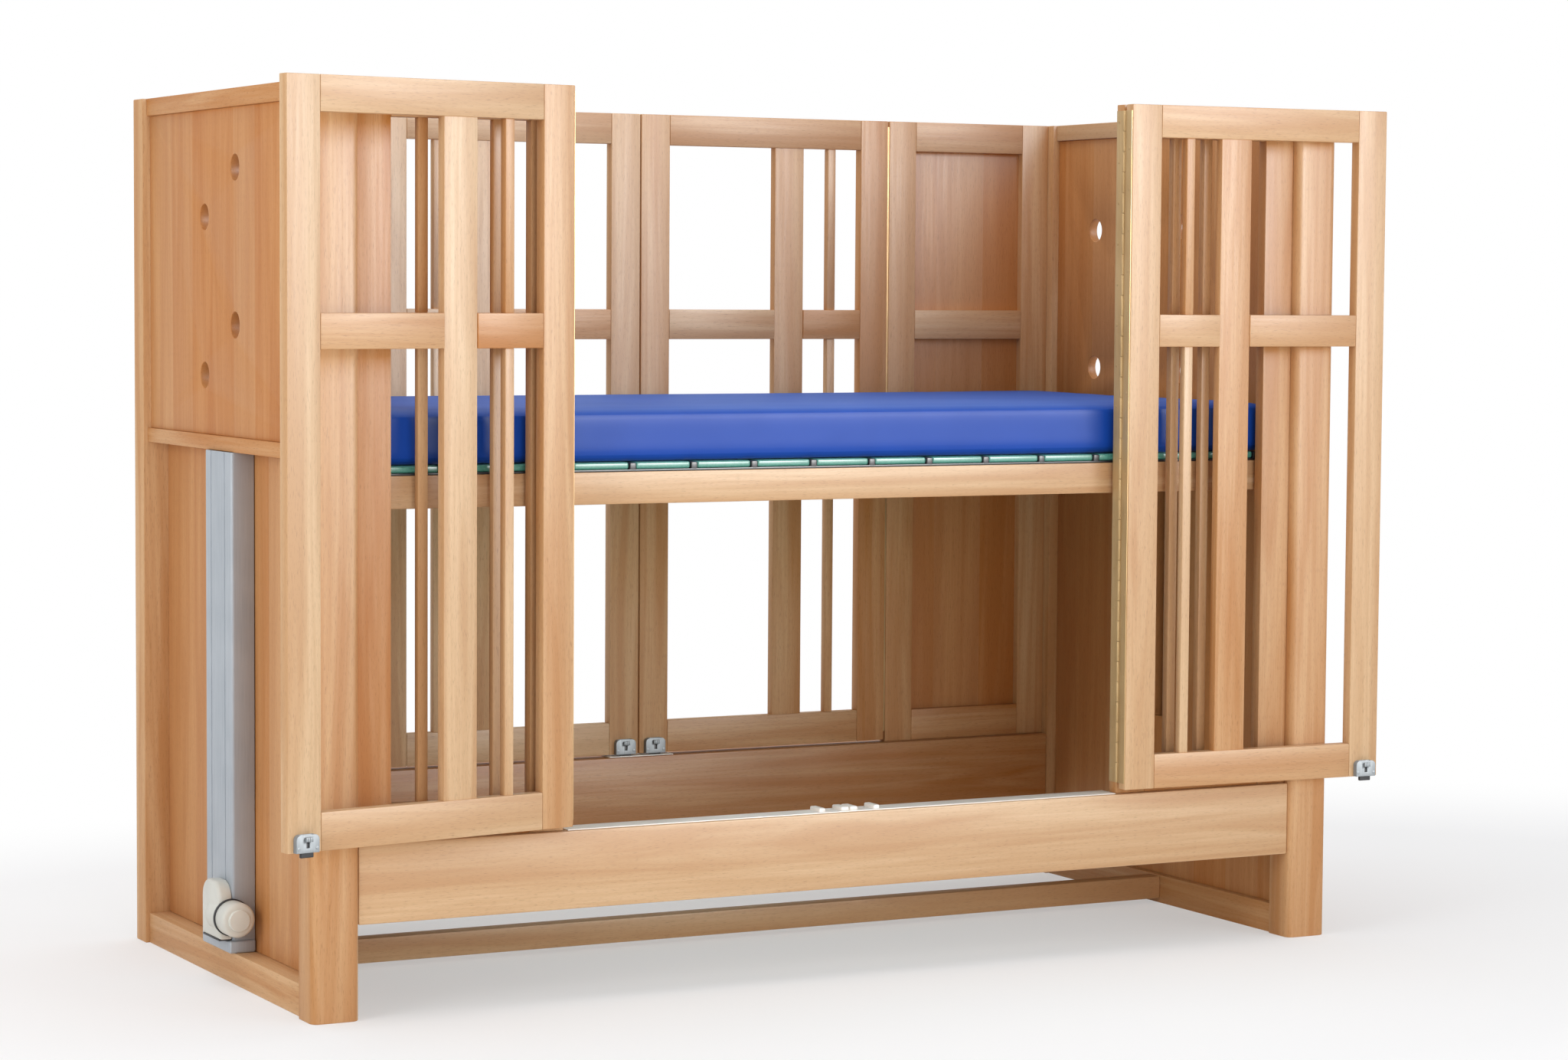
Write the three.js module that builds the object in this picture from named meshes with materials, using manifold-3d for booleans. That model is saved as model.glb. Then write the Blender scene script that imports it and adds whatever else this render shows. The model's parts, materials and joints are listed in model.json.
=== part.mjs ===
// Wooden care cot: panelled ends, folding doors on both sides, and a mattress platform on two lift columns.
// Millimetres, +Z up. X runs along the bed, the front is -Y, and the cot stands on Z = 0.
// It is laid out from the left end's outer face and the front of the posts, then centred at the end.

import * as THREE from "three";
import { mergeVertices } from "three/addons/utils/BufferGeometryUtils.js";
import Module from "manifold-3d";

const wasm = await Module();
wasm.setup();

// Driving dimensions

const FIT = 0.3; // gap between seated pieces
const cotSize = { length: 2200, depth: 1010, height: 1680 };
const post = { width: 92, depth: 68, edgeRadius: 15 };
const endRail = { setback: 8, topHeight: 34, midBottom: 1003, midHeight: 28, bottomHeight: 60 };
const upperPanel = { setback: 15, thickness: 20 };
const lowerPanel = { setback: 50, thickness: 20, slotWidth: 62 };
const porthole = {
  radius: 25,
  segments: 24,
  // each end's holes, front to back: from the rear posts, down from the top rail, up from the mid rail
  left: [
    { fromRear: 500, belowTop: 112, aboveMid: 209 },
    { fromRear: 327, belowTop: 202, aboveMid: 112 },
  ],
  right: [
    { fromRear: 492, belowTop: 195, aboveMid: 114 },
    { fromRear: 155, belowTop: 200, aboveMid: 114 },
  ],
};
const sill = { bottom: 172, height: 145, setback: 8, thickness: 58 };
const tieBeam = { bottom: 10, height: 48, thickness: 40 };

const leaf = {
  thickness: 26,
  setback: 20,
  stileWidth: 67,
  topHeight: 64,
  midHeight: 63,
  midBottom: 1205,
  bottomHeight: 68,
};
const doorway = { fromEnd: 500, centreGap: 3, barGap: 60, barWidth: 20, slatWidth: 70 };
// gap under each pair of doors, above the sills: the front pair clears the guides on the sill strip
const doorGap = { front: 11, rear: 4.5 };
const sideFrame = { bars: 3, barWidth: 20, panelThickness: 8, rebateDepth: 9, rebateLip: 12 };
const hinge = {
  barrelRadius: 3.6,
  boreRadius: 1.9,
  pinRadius: 1.5,
  axisOffset: 4,
  leafGap: 4,
  plateThickness: 1.4,
  plateWidth: 24,
  endMargin: 12,
  knuckles: 9,
  knuckleGap: 0.5,
  segments: 12,
};
// angle that each front door is left short of lying flat on the side frame
const foldAngle = { left: 9.4, right: 2.0 };

const latch = { width: 46, height: 32, depth: 12, raise: 1, backWall: 2 };
const bolt = { width: 26, thickness: 6.6, topCover: 3 };
const latchKnob = { width: 14, height: 8, depth: 6, neckWidth: 4.8, neckHeight: 6, neckRaise: 24 };
const latchRunning = 0.7; // gap that the knob and its neck keep to the housing, and the bolt to the strip
const boltTravel = 12;
const strip = { thickness: 2, edge: 4, humpHeight: 7, humpDepth: 40, outerHump: 14, channel: 34 };
const pocketDepth = 12;
const pocketClearance = 1.2;
const strikePlateLength = 150;

const column = { setback: 2, depth: 46, width: 146, wall: 4, mouth: 66, footHeight: 24, footStep: 6 };
const spindle = { radius: 8, segments: 16, endClearance: 8 };
const motor = { boxDepth: 26, boxWidth: 96, boxHeight: 108, boxRadius: 34, raise: 3, segments: 24 };
const barrel = { radius: 33, axisOffset: 2, raise: 42, reach: 52, overlap: 50, domeRadius: 11 };

const platform = { railBottom: 914, railHeight: 60, railWidth: 24, sideGap: 10, endGap: 4 };
const lift = { beamThickness: 32, armWidth: 50, nutWidth: 70, nutDepth: 34, nutBore: 9, slotMargin: 14 };
const liftTravel = 500;
const holder = { thickness: 3.7, clipWidth: 13.4, inset: 2, width: 20, topDrop: 1 };
const slats = { pitch: 127, thickness: 13, sideGap: 4, clipGap: 0.4 };
const slatTape = { width: 30, thickness: 2, offset: 200 };
const mattress = { endGap: 8, sideGap: 9, thickness: 100, cornerRadius: 18 };

// Materials

function surface(color, roughness, metalness) {
  return new THREE.MeshStandardMaterial({ color, roughness, metalness });
}

const beech = surface(0xd9b48a, 0.5, 0);
const beechPanel = surface(0xcfa577, 0.5, 0);
const brass = surface(0xb0915f, 0.4, 1);
const aluminium = surface(0xaeb8c2, 0.4, 0.9);
const zinc = surface(0x969ba0, 0.4, 0.9);
const steel = surface(0x8d9196, 0.4, 1);
const ivory = surface(0xd8d8cd, 0.45, 0);
const whitePlastic = surface(0xf6efe6, 0.4, 0);
const blackPlastic = surface(0x1c1c1e, 0.5, 0);
const greenSlat = surface(0x5aa096, 0.5, 0);
const blueCover = surface(0x2355c0, 0.45, 0);

// Shape helpers: a range is [low, high]

const axisX = new THREE.Vector3(1, 0, 0);
const axisY = new THREE.Vector3(0, 1, 0);
const axisZ = new THREE.Vector3(0, 0, 1);
const drawnOn = {
  YZ: new THREE.Matrix4().makeBasis(axisY, axisZ, axisX),
  XY: new THREE.Matrix4(),
};

function span(from, size) {
  return [from, from + size];
}

function ordered(range, sign, origin = 0) {
  const ends = range.map((value) => origin + sign * value);
  return [Math.min(...ends), Math.max(...ends)];
}

function block(x, y, z) {
  const geometry = new THREE.BoxGeometry(x[1] - x[0], y[1] - y[0], z[1] - z[0]);
  return geometry.translate((x[0] + x[1]) / 2, (y[0] + y[1]) / 2, (z[0] + z[1]) / 2);
}

function rectangle(across, up) {
  const corners = [
    new THREE.Vector2(across[0], up[0]),
    new THREE.Vector2(across[1], up[0]),
    new THREE.Vector2(across[1], up[1]),
    new THREE.Vector2(across[0], up[1]),
  ];
  return new THREE.Shape(corners);
}

function disc(centre, radius, segments) {
  const points = [];
  for (let step = 0; step < segments; step += 1) {
    const angle = ((step + 0.5) / segments) * 2 * Math.PI;
    const [x, y] = [radius * Math.cos(angle), radius * Math.sin(angle)];
    points.push(new THREE.Vector2(centre[0] + x, centre[1] + y));
  }
  return new THREE.Shape(points);
}

function rounded(across, up, radii, arcSteps = 4) {
  // radii start at the low-low corner and go round anticlockwise
  const corners = [[across[0], up[0]], [across[1], up[0]], [across[1], up[1]], [across[0], up[1]]];
  const inward = [[1, 1], [-1, 1], [-1, -1], [1, -1]];
  const points = [];
  corners.forEach((corner, index) => {
    const radius = radii[index];
    const steps = radius > 0 ? arcSteps : 0;
    for (let step = 0; step <= steps; step += 1) {
      const angle = Math.PI + (index + (steps ? step / steps : 0)) * (Math.PI / 2);
      const x = corner[0] + radius * (inward[index][0] + Math.cos(angle));
      const y = corner[1] + radius * (inward[index][1] + Math.sin(angle));
      points.push(radius > 0 ? new THREE.Vector2(x, y) : new THREE.Vector2(...corner));
    }
  });
  return new THREE.Shape(points);
}

function board(plane, outline, range, holes = []) {
  const shape = outline.clone();
  shape.holes = holes;
  const geometry = new THREE.ExtrudeGeometry(shape, { depth: range[1] - range[0], bevelEnabled: false });
  const along = plane === "YZ" ? axisX : axisZ;
  geometry.applyMatrix4(drawnOn[plane]);
  return geometry.translate(along.x * range[0], 0, along.z * range[0]);
}

function solidOf(geometry) {
  const bare = geometry.index ? geometry.toNonIndexed() : geometry.clone();
  bare.deleteAttribute("normal");
  bare.deleteAttribute("uv");
  const merged = mergeVertices(bare);
  const vertProperties = merged.attributes.position.array;
  const triVerts = new Uint32Array(merged.index.array);
  return new wasm.Manifold(new wasm.Mesh({ numProp: 3, vertProperties, triVerts }));
}

function geometryOf(solid) {
  const mesh = solid.getMesh();
  const geometry = new THREE.BufferGeometry();
  geometry.setAttribute("position", new THREE.BufferAttribute(mesh.vertProperties, mesh.numProp));
  geometry.setIndex(new THREE.BufferAttribute(mesh.triVerts, 1));
  geometry.computeVertexNormals();
  return geometry;
}

function join(first, ...others) {
  return geometryOf(others.reduce((solid, other) => solid.add(solidOf(other)), solidOf(first)));
}

function cut(first, ...tools) {
  return geometryOf(tools.reduce((solid, tool) => solid.subtract(solidOf(tool)), solidOf(first)));
}

function pierced(x, y, z, openings) {
  // a board in the XZ plane with rectangular openings, each [across, up]
  const through = [y[0] - FIT, y[1] + FIT];
  return cut(block(x, y, z), ...openings.map(([across, up]) => block(across, through, up)));
}

function place(group, name, geometry, material) {
  const mesh = new THREE.Mesh(geometry, material);
  mesh.name = name;
  group.add(mesh);
}

// Levels and lines that several pieces share

const cot = new THREE.Group();
const middleX = cotSize.length / 2;
const middleY = cotSize.depth / 2;
const sillTop = sill.bottom + sill.height;
const doorBottom = { front: sillTop + doorGap.front, rear: sillTop + doorGap.rear };
const midRailTop = endRail.midBottom + endRail.midHeight;
const topRailBottom = cotSize.height - endRail.topHeight;
const betweenPosts = [post.depth + FIT, cotSize.depth - post.depth - FIT];
const hingeOut = leaf.setback - hinge.axisOffset;
const hingeUp = [doorBottom.front + hinge.endMargin, cotSize.height - hinge.endMargin];
const leafMidRail = span(leaf.midBottom, leaf.midHeight);
const leafTopBottom = cotSize.height - leaf.topHeight;
const stripTop = sillTop + FIT + strip.thickness;
const doorwayWidth = cotSize.length - 2 * doorway.fromEnd;
const doorEnd = (doorwayWidth - doorway.centreGap) / 2;
const boltAcross = doorEnd - leaf.stileWidth / 2;
const boltBack = hinge.axisOffset + leaf.thickness + FIT + latch.backWall;
const boltMiddle = boltBack + FIT + bolt.thickness / 2;
const boltTip = stripTop + latchRunning;

const sides = [
  { name: "left", sign: 1, end: 0, hingeX: doorway.fromEnd },
  { name: "right", sign: -1, end: cotSize.length, hingeX: cotSize.length - doorway.fromEnd },
];
const faces = [
  { name: "front", sign: 1, edge: 0 },
  { name: "rear", sign: -1, edge: cotSize.depth },
];

// Ends: two posts, three rails, a pierced upper panel and a slotted lower panel

function addEnd(side) {
  const low = side.sign > 0 ? 0 : cotSize.length - post.width;
  const railX = [low + endRail.setback, low + post.width - endRail.setback];
  for (const face of faces) {
    const y = ordered([0, post.depth], face.sign, face.edge);
    const front = face.sign > 0 ? post.edgeRadius : 0;
    const back = face.sign > 0 ? 0 : post.edgeRadius;
    const section = rounded(span(low, post.width), y, [front, front, back, back]);
    place(cot, `${side.name}_${face.name}_post`, board("XY", section, [0, cotSize.height]), beech);
  }
  const railLevels = {
    top_rail: [topRailBottom, cotSize.height],
    mid_rail: [endRail.midBottom, midRailTop],
    bottom_rail: [0, endRail.bottomHeight],
  };
  for (const [name, z] of Object.entries(railLevels)) {
    place(cot, `${side.name}_${name}`, block(railX, betweenPosts, z), beech);
  }
  const upperZ = [midRailTop + FIT, topRailBottom - FIT];
  const ports = porthole[side.name].flatMap(({ fromRear, belowTop, aboveMid }) => {
    const across = cotSize.depth - post.depth - fromRear;
    const levels = [topRailBottom - belowTop, midRailTop + aboveMid];
    return levels.map((up) => disc([across, up], porthole.radius, porthole.segments));
  });
  const upperX = span(low + upperPanel.setback, upperPanel.thickness);
  const upper = board("YZ", rectangle(betweenPosts, upperZ), upperX, ports);
  place(cot, `${side.name}_upper_panel`, upper, beechPanel);

  const lowerZ = [endRail.bottomHeight + FIT, endRail.midBottom - FIT];
  const slotY = span(middleY - lowerPanel.slotWidth / 2, lowerPanel.slotWidth);
  const armTop = platform.railBottom + platform.railHeight;
  const slotZ = [platform.railBottom - liftTravel - lift.slotMargin, armTop + lift.slotMargin];
  const lowerX = ordered(span(lowerPanel.setback, lowerPanel.thickness), side.sign, side.end);
  const slot = rectangle(slotY, slotZ);
  const lower = board("YZ", rectangle(betweenPosts, lowerZ), lowerX, [slot]);
  place(cot, `${side.name}_lower_panel`, lower, beechPanel);
}

sides.forEach(addEnd);

// Long members: sills with bolt pockets, the white strips on them, and the low tie beam

function boltHole(face, side, z) {
  const halfX = bolt.width / 2 + pocketClearance;
  const halfY = bolt.thickness / 2 + pocketClearance;
  const x = ordered([boltAcross - halfX, boltAcross + halfX], side.sign, side.hingeX);
  const y = ordered([hingeOut + boltMiddle - halfY, hingeOut + boltMiddle + halfY], face.sign, face.edge);
  return block(x, y, z);
}

function addSill(face) {
  const x = [post.width + FIT, cotSize.length - post.width - FIT];
  const y = ordered(span(sill.setback, sill.thickness), face.sign, face.edge);
  const pockets = sides.map((side) => boltHole(face, side, [sillTop - pocketDepth, sillTop + FIT]));
  place(cot, `${face.name}_sill`, cut(block(x, y, [sill.bottom, sillTop]), ...pockets), beech);
}

function stripGuides(face) {
  const humpBack = sill.setback + sill.thickness - strip.edge;
  const humpZ = [sillTop + FIT, stripTop + strip.humpHeight];
  const boltFromMiddle = doorwayWidth / 2 - boltAcross;
  const innerHump = boltFromMiddle - strip.channel / 2;
  const outerHump = span(boltFromMiddle + strip.channel / 2, strip.outerHump);
  const humpY = ordered([humpBack - strip.humpDepth, humpBack], face.sign, face.edge);
  return [
    block([middleX - innerHump, middleX + innerHump], humpY, humpZ),
    block(ordered(outerHump, 1, middleX), humpY, humpZ),
    block(ordered(outerHump, -1, middleX), humpY, humpZ),
  ];
}

function addStrike(face, name, length, guides) {
  const stripX = [middleX - length / 2, middleX + length / 2];
  const stripBack = sill.setback + sill.thickness - strip.edge;
  const stripY = ordered([sill.setback + strip.edge, stripBack], face.sign, face.edge);
  const plate = block(stripX, stripY, [sillTop + FIT, stripTop]);
  const holes = sides.map((side) => boltHole(face, side, [sillTop, stripTop + FIT]));
  place(cot, name, cut(join(plate, ...guides), ...holes), whitePlastic);
}

faces.forEach(addSill);
addStrike(faces[0], "front_sill_strip", doorwayWidth - 2 * hinge.leafGap, stripGuides(faces[0]));
addStrike(faces[1], "rear_strike_plate", strikePlateLength, []);

const tieX = [post.width - endRail.setback + FIT, cotSize.length - post.width + endRail.setback - FIT];
const tieY = span(middleY - tieBeam.thickness / 2, tieBeam.thickness);
place(cot, "tie_beam", block(tieX, tieY, span(tieBeam.bottom, tieBeam.height)), beech);

// Piano hinges: one plate carries the pin, the other the tubes that turn on it

function knuckleSpans(first) {
  const length = (hingeUp[1] - hingeUp[0]) / hinge.knuckles;
  const spans = [];
  for (let index = first; index < hinge.knuckles; index += 2) {
    const low = hingeUp[0] + index * length;
    spans.push([low + hinge.knuckleGap / 2, low + length - hinge.knuckleGap / 2]);
  }
  return spans;
}

function hingePlate(plateX, faceSign, first) {
  const foot = hinge.barrelRadius + FIT;
  const plate = block(plateX, ordered(span(foot, hinge.plateWidth), faceSign), hingeUp);
  const tabY = ordered([(hinge.boreRadius + hinge.barrelRadius) / 2, foot + hinge.plateThickness], faceSign);
  const tabs = knuckleSpans(first).map((z) => block(plateX, tabY, z));
  return join(plate, ...tabs);
}

function fixedHingeLeaf(sideSign, faceSign) {
  const edge = hinge.leafGap / 2 - FIT;
  const plate = hingePlate(ordered([-edge, hinge.plateThickness - edge], sideSign), faceSign, 0);
  const round = disc([0, 0], hinge.barrelRadius, hinge.segments);
  const rolls = knuckleSpans(0).map((z) => board("XY", round, z));
  const pin = board("XY", disc([0, 0], hinge.pinRadius, hinge.segments), hingeUp);
  return join(plate, ...rolls, pin);
}

function doorHingeLeaf(sideSign, faceSign) {
  const edge = hinge.leafGap / 2 - FIT;
  const plate = hingePlate(ordered([edge - hinge.plateThickness, edge], sideSign), faceSign, 1);
  const round = disc([0, 0], hinge.barrelRadius, hinge.segments);
  const bore = disc([0, 0], hinge.boreRadius, hinge.segments);
  const rolls = knuckleSpans(1).map((z) => board("XY", round, z, [bore]));
  return join(plate, ...rolls);
}

// Fixed side frames beside the doors: barred at the front, panelled at the rear

function leafRows(bottom) {
  return [[bottom + leaf.bottomHeight, leaf.midBottom], [leafMidRail[1], leafTopBottom]];
}

function addSideFrame(face, side) {
  const reach = [post.width + FIT, doorway.fromEnd - hinge.leafGap / 2];
  const inside = [reach[0] + leaf.stileWidth, reach[1] - leaf.stileWidth];
  const z = [sillTop + FIT, cotSize.height];
  const y = ordered(span(leaf.setback, leaf.thickness), face.sign, face.edge);
  const rows = leafRows(z[0]);
  const x = ordered(reach, side.sign, side.end);
  const name = `${face.name}_${side.name}_side`;
  if (face.name === "front") {
    const gap = (inside[1] - inside[0] - sideFrame.bars * sideFrame.barWidth) / (sideFrame.bars + 1);
    const openings = [];
    for (let index = 0; index <= sideFrame.bars; index += 1) {
      const across = span(inside[0] + index * (gap + sideFrame.barWidth), gap);
      rows.forEach((row) => openings.push([ordered(across, side.sign, side.end), row]));
    }
    place(cot, `${name}_frame`, pierced(x, y, z, openings), beech);
    return;
  }
  const openings = rows.map((row) => [ordered(inside, side.sign, side.end), row]);
  const lip = sideFrame.rebateLip;
  const rebateX = ordered([inside[0] - lip, inside[1] + lip], side.sign, side.end);
  const rebateZ = [rows[0][0] - lip, rows[1][1] + lip];
  const rebateY = ordered([leaf.setback - FIT, leaf.setback + sideFrame.rebateDepth], face.sign, face.edge);
  const frame = pierced(x, y, z, openings);
  place(cot, `${name}_frame`, cut(frame, block(rebateX, rebateY, rebateZ)), beech);

  const seat = leaf.setback + sideFrame.rebateDepth - FIT;
  const panelY = ordered([seat - sideFrame.panelThickness, seat], face.sign, face.edge);
  const panelX = [rebateX[0] + FIT, rebateX[1] - FIT];
  const panelZ = [rebateZ[0] + FIT, rebateZ[1] - FIT];
  place(cot, `${name}_panel`, block(panelX, panelY, panelZ), beechPanel);
}

function addFixedHinge(face, side) {
  const axis = new THREE.Group();
  axis.position.set(side.hingeX, face.edge + face.sign * hingeOut, 0);
  place(axis, `${face.name}_${side.name}_hinge_fixed_leaf`, fixedHingeLeaf(side.sign, face.sign), brass);
  cot.add(axis);
}

for (const face of faces) {
  for (const side of sides) {
    addSideFrame(face, side);
    addFixedHinge(face, side);
  }
}

// Doors, drawn closed about their hinge axis and then turned: the front pair stands folded open

function doorFrame(sideSign, faceSign, bottom) {
  const barFrom = hinge.leafGap / 2 + leaf.stileWidth + doorway.barGap;
  const slatFrom = barFrom + doorway.barWidth + doorway.barGap;
  const gaps = [
    [barFrom - doorway.barGap, barFrom],
    [barFrom + doorway.barWidth, slatFrom],
    [slatFrom + doorway.slatWidth, doorEnd - leaf.stileWidth],
  ];
  const rows = leafRows(bottom);
  const openings = gaps.flatMap((gap) => rows.map((row) => [ordered(gap, sideSign), row]));
  const x = ordered([hinge.leafGap / 2, doorEnd], sideSign);
  const y = ordered(span(hinge.axisOffset, leaf.thickness), faceSign);
  return pierced(x, y, [bottom, cotSize.height], openings);
}

function latchHousing(sideSign, faceSign, bottom) {
  const back = hinge.axisOffset + leaf.thickness + FIT;
  const low = bottom + latch.raise;
  const x = ordered([boltAcross - latch.width / 2, boltAcross + latch.width / 2], sideSign);
  const body = block(x, ordered(span(back, latch.depth), faceSign), span(low, latch.height));
  const boreHalf = { x: bolt.width / 2 + FIT, y: bolt.thickness / 2 + FIT };
  const boreX = ordered([boltAcross - boreHalf.x, boltAcross + boreHalf.x], sideSign);
  const boreY = ordered([boltMiddle - boreHalf.y, boltMiddle + boreHalf.y], faceSign);
  const bore = block(boreX, boreY, [low - FIT, low + latch.height + FIT]);
  const slotHalf = latchKnob.neckWidth / 2 + latchRunning;
  const slotX = ordered([boltAcross - slotHalf, boltAcross + slotHalf], sideSign);
  const slotY = ordered([boltMiddle, back + latch.depth + FIT], faceSign);
  const neckZ = span(low + latchKnob.neckRaise - latchKnob.neckHeight / 2, latchKnob.neckHeight);
  const slotZ = [neckZ[0] - boltTravel - latchRunning, neckZ[1] + latchRunning];
  return cut(body, bore, block(slotX, slotY, slotZ));
}

function latchBolt(sideSign, faceSign, bottom) {
  const front = hinge.axisOffset + leaf.thickness + FIT + latch.depth + latchRunning;
  const low = bottom + latch.raise;
  const rodX = ordered([boltAcross - bolt.width / 2, boltAcross + bolt.width / 2], sideSign);
  const rodY = ordered([boltMiddle - bolt.thickness / 2, boltMiddle + bolt.thickness / 2], faceSign);
  const rod = block(rodX, rodY, [boltTip, low + latch.height - bolt.topCover]);
  const neckHalf = latchKnob.neckWidth / 2;
  const neckX = ordered([boltAcross - neckHalf, boltAcross + neckHalf], sideSign);
  const neckZ = span(low + latchKnob.neckRaise - latchKnob.neckHeight / 2, latchKnob.neckHeight);
  const neck = block(neckX, ordered([boltMiddle, front + FIT], faceSign), neckZ);
  const knobX = ordered([boltAcross - latchKnob.width / 2, boltAcross + latchKnob.width / 2], sideSign);
  const knobZ = span(low + latchKnob.neckRaise - latchKnob.height / 2, latchKnob.height);
  return join(rod, neck, block(knobX, ordered(span(front, latchKnob.depth), faceSign), knobZ));
}

function addDoor(face, side) {
  const door = new THREE.Group();
  door.position.set(side.hingeX, face.edge + face.sign * hingeOut, 0);
  if (face.name === "front") {
    door.rotation.z = -side.sign * THREE.MathUtils.degToRad(180 - foldAngle[side.name]);
  }
  const name = `${face.name}_${side.name}`;
  const bottom = doorBottom[face.name];
  place(door, `${name}_door_frame`, doorFrame(side.sign, face.sign, bottom), beech);
  place(door, `${name}_hinge_door_leaf`, doorHingeLeaf(side.sign, face.sign), brass);
  place(door, `${name}_latch_housing`, latchHousing(side.sign, face.sign, bottom), zinc);
  place(door, `${name}_latch_bolt`, latchBolt(side.sign, face.sign, bottom), blackPlastic);
  cot.add(door);
}

for (const face of faces) {
  sides.forEach((side) => addDoor(face, side));
}

// Lift columns: an open channel with a foot, a drive screw inside, and a motor on the outside

const columnY = span(middleY - column.width / 2, column.width);
const columnZ = [endRail.bottomHeight + FIT, endRail.midBottom - FIT];
const columnBack = column.setback + column.depth;
const screwFromEnd = column.setback + column.depth / 2;

function addColumn(side) {
  const outer = rectangle(ordered([column.setback, columnBack], side.sign, side.end), columnY);
  const shell = board("XY", outer, columnZ);
  const hollowX = ordered([column.setback + column.wall, columnBack - column.wall], side.sign, side.end);
  const throughZ = [columnZ[0] - FIT, columnZ[1] + FIT];
  const hollow = block(hollowX, [columnY[0] + column.wall, columnY[1] - column.wall], throughZ);
  const mouthX = ordered([screwFromEnd, columnBack + FIT], side.sign, side.end);
  const mouthY = span(middleY - column.mouth / 2, column.mouth);
  const mouth = block(mouthX, mouthY, throughZ);
  const footX = ordered([column.setback - column.footStep, columnBack], side.sign, side.end);
  const footY = [columnY[0] - column.footStep, columnY[1] + column.footStep];
  const foot = block(footX, footY, span(columnZ[0], column.footHeight));
  place(cot, `${side.name}_lift_column`, join(cut(shell, hollow, mouth), foot), aluminium);

  const screwZ = [columnZ[0] + column.footHeight + FIT, columnZ[1] - spindle.endClearance];
  const screwX = side.end + side.sign * screwFromEnd;
  const screw = board("XY", disc([0, 0], spindle.radius, spindle.segments), screwZ);
  place(cot, `${side.name}_lift_spindle`, screw.translate(screwX, middleY, 0), steel);
}

function addMotor(side) {
  const low = columnZ[0] + column.footHeight + motor.raise;
  const seat = column.setback - FIT;
  const boxY = span(columnY[0], motor.boxWidth);
  const outline = rounded(boxY, span(low, motor.boxHeight), [0, 0, motor.boxRadius, motor.boxRadius]);
  const housing = board("YZ", outline, ordered([seat - motor.boxDepth, seat], side.sign, side.end));
  const front = columnY[0] - FIT;
  const dome = barrel.radius - barrel.domeRadius;
  const profile = [new THREE.Vector2(0, -barrel.overlap), new THREE.Vector2(barrel.radius, -barrel.overlap)];
  const arcSteps = 4;
  for (let step = 0; step <= arcSteps; step += 1) {
    const angle = (step / arcSteps) * (Math.PI / 2);
    const radius = dome + barrel.domeRadius * Math.cos(angle);
    const along = barrel.reach - barrel.domeRadius * (1 - Math.sin(angle));
    profile.push(new THREE.Vector2(radius, along));
  }
  profile.push(new THREE.Vector2(0, barrel.reach));
  const round = new THREE.LatheGeometry(profile, motor.segments).rotateX(Math.PI);
  const barrelX = side.end + side.sign * (column.setback - barrel.axisOffset);
  round.applyMatrix4(new THREE.Matrix4().makeTranslation(barrelX, front, low + barrel.raise));
  const keepClear = block(
    ordered([seat, seat + barrel.radius * 2], side.sign, side.end),
    [front, front + barrel.overlap + FIT],
    [low - barrel.radius, low + barrel.raise + barrel.radius * 2],
  );
  place(cot, `${side.name}_lift_motor`, cut(join(housing, round), keepClear), ivory);
}

sides.forEach(addColumn);
sides.forEach(addMotor);

// Platform: two rails, a cross-beam with a lift nut at each end, slats in their holders, and the mattress

const railTop = platform.railBottom + platform.railHeight;
const railZ = [platform.railBottom, railTop];
const leafInside = leaf.setback + leaf.thickness;
const railInset = leafInside + platform.sideGap;
const railX = [post.width + platform.endGap, cotSize.length - post.width - platform.endGap];
const slatZ = span(railTop + FIT + holder.thickness + FIT, slats.thickness);
const slatCount = Math.floor((railX[1] - railX[0]) / slats.pitch);
const slatStart = middleX - (slatCount * slats.pitch) / 2;

function addPlatformRail(face) {
  const y = ordered(span(railInset, platform.railWidth), face.sign, face.edge);
  place(cot, `platform_${face.name}_rail`, block(railX, y, railZ), beech);

  const stripY = ordered(span(railInset + holder.inset, holder.width), face.sign, face.edge);
  const base = block(railX, stripY, span(railTop + FIT, holder.thickness));
  const clips = [];
  for (let index = 0; index <= slatCount; index += 1) {
    const centre = slatStart + index * slats.pitch;
    const low = Math.max(centre - holder.clipWidth / 2, railX[0]);
    const high = Math.min(centre + holder.clipWidth / 2, railX[1]);
    clips.push(block([low, high], stripY, [railTop + FIT, slatZ[1] - holder.topDrop]));
  }
  place(cot, `${face.name}_slat_holder`, join(base, ...clips), blackPlastic);
}

function addCarriage(side) {
  const beamFrom = railX[0] + platform.endGap;
  const beamX = ordered(span(beamFrom, lift.beamThickness), side.sign, side.end);
  const beamY = [railInset + platform.railWidth + FIT, cotSize.depth - railInset - platform.railWidth - FIT];
  const beam = block(beamX, beamY, railZ);
  const armX = ordered([screwFromEnd, beamFrom + lift.beamThickness / 2], side.sign, side.end);
  const arm = block(armX, span(middleY - lift.armWidth / 2, lift.armWidth), railZ);
  const nutX = ordered(span(screwFromEnd - lift.nutDepth / 2, lift.nutDepth), side.sign, side.end);
  const nut = block(nutX, span(middleY - lift.nutWidth / 2, lift.nutWidth), railZ);
  const bore = board("XY", disc([0, 0], lift.nutBore, spindle.segments), [railZ[0] - FIT, railZ[1] + FIT]);
  bore.translate(side.end + side.sign * screwFromEnd, middleY, 0);
  place(cot, `${side.name}_lift_carriage`, cut(join(beam, arm, nut), bore), steel);
}

faces.forEach(addPlatformRail);
sides.forEach(addCarriage);

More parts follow.
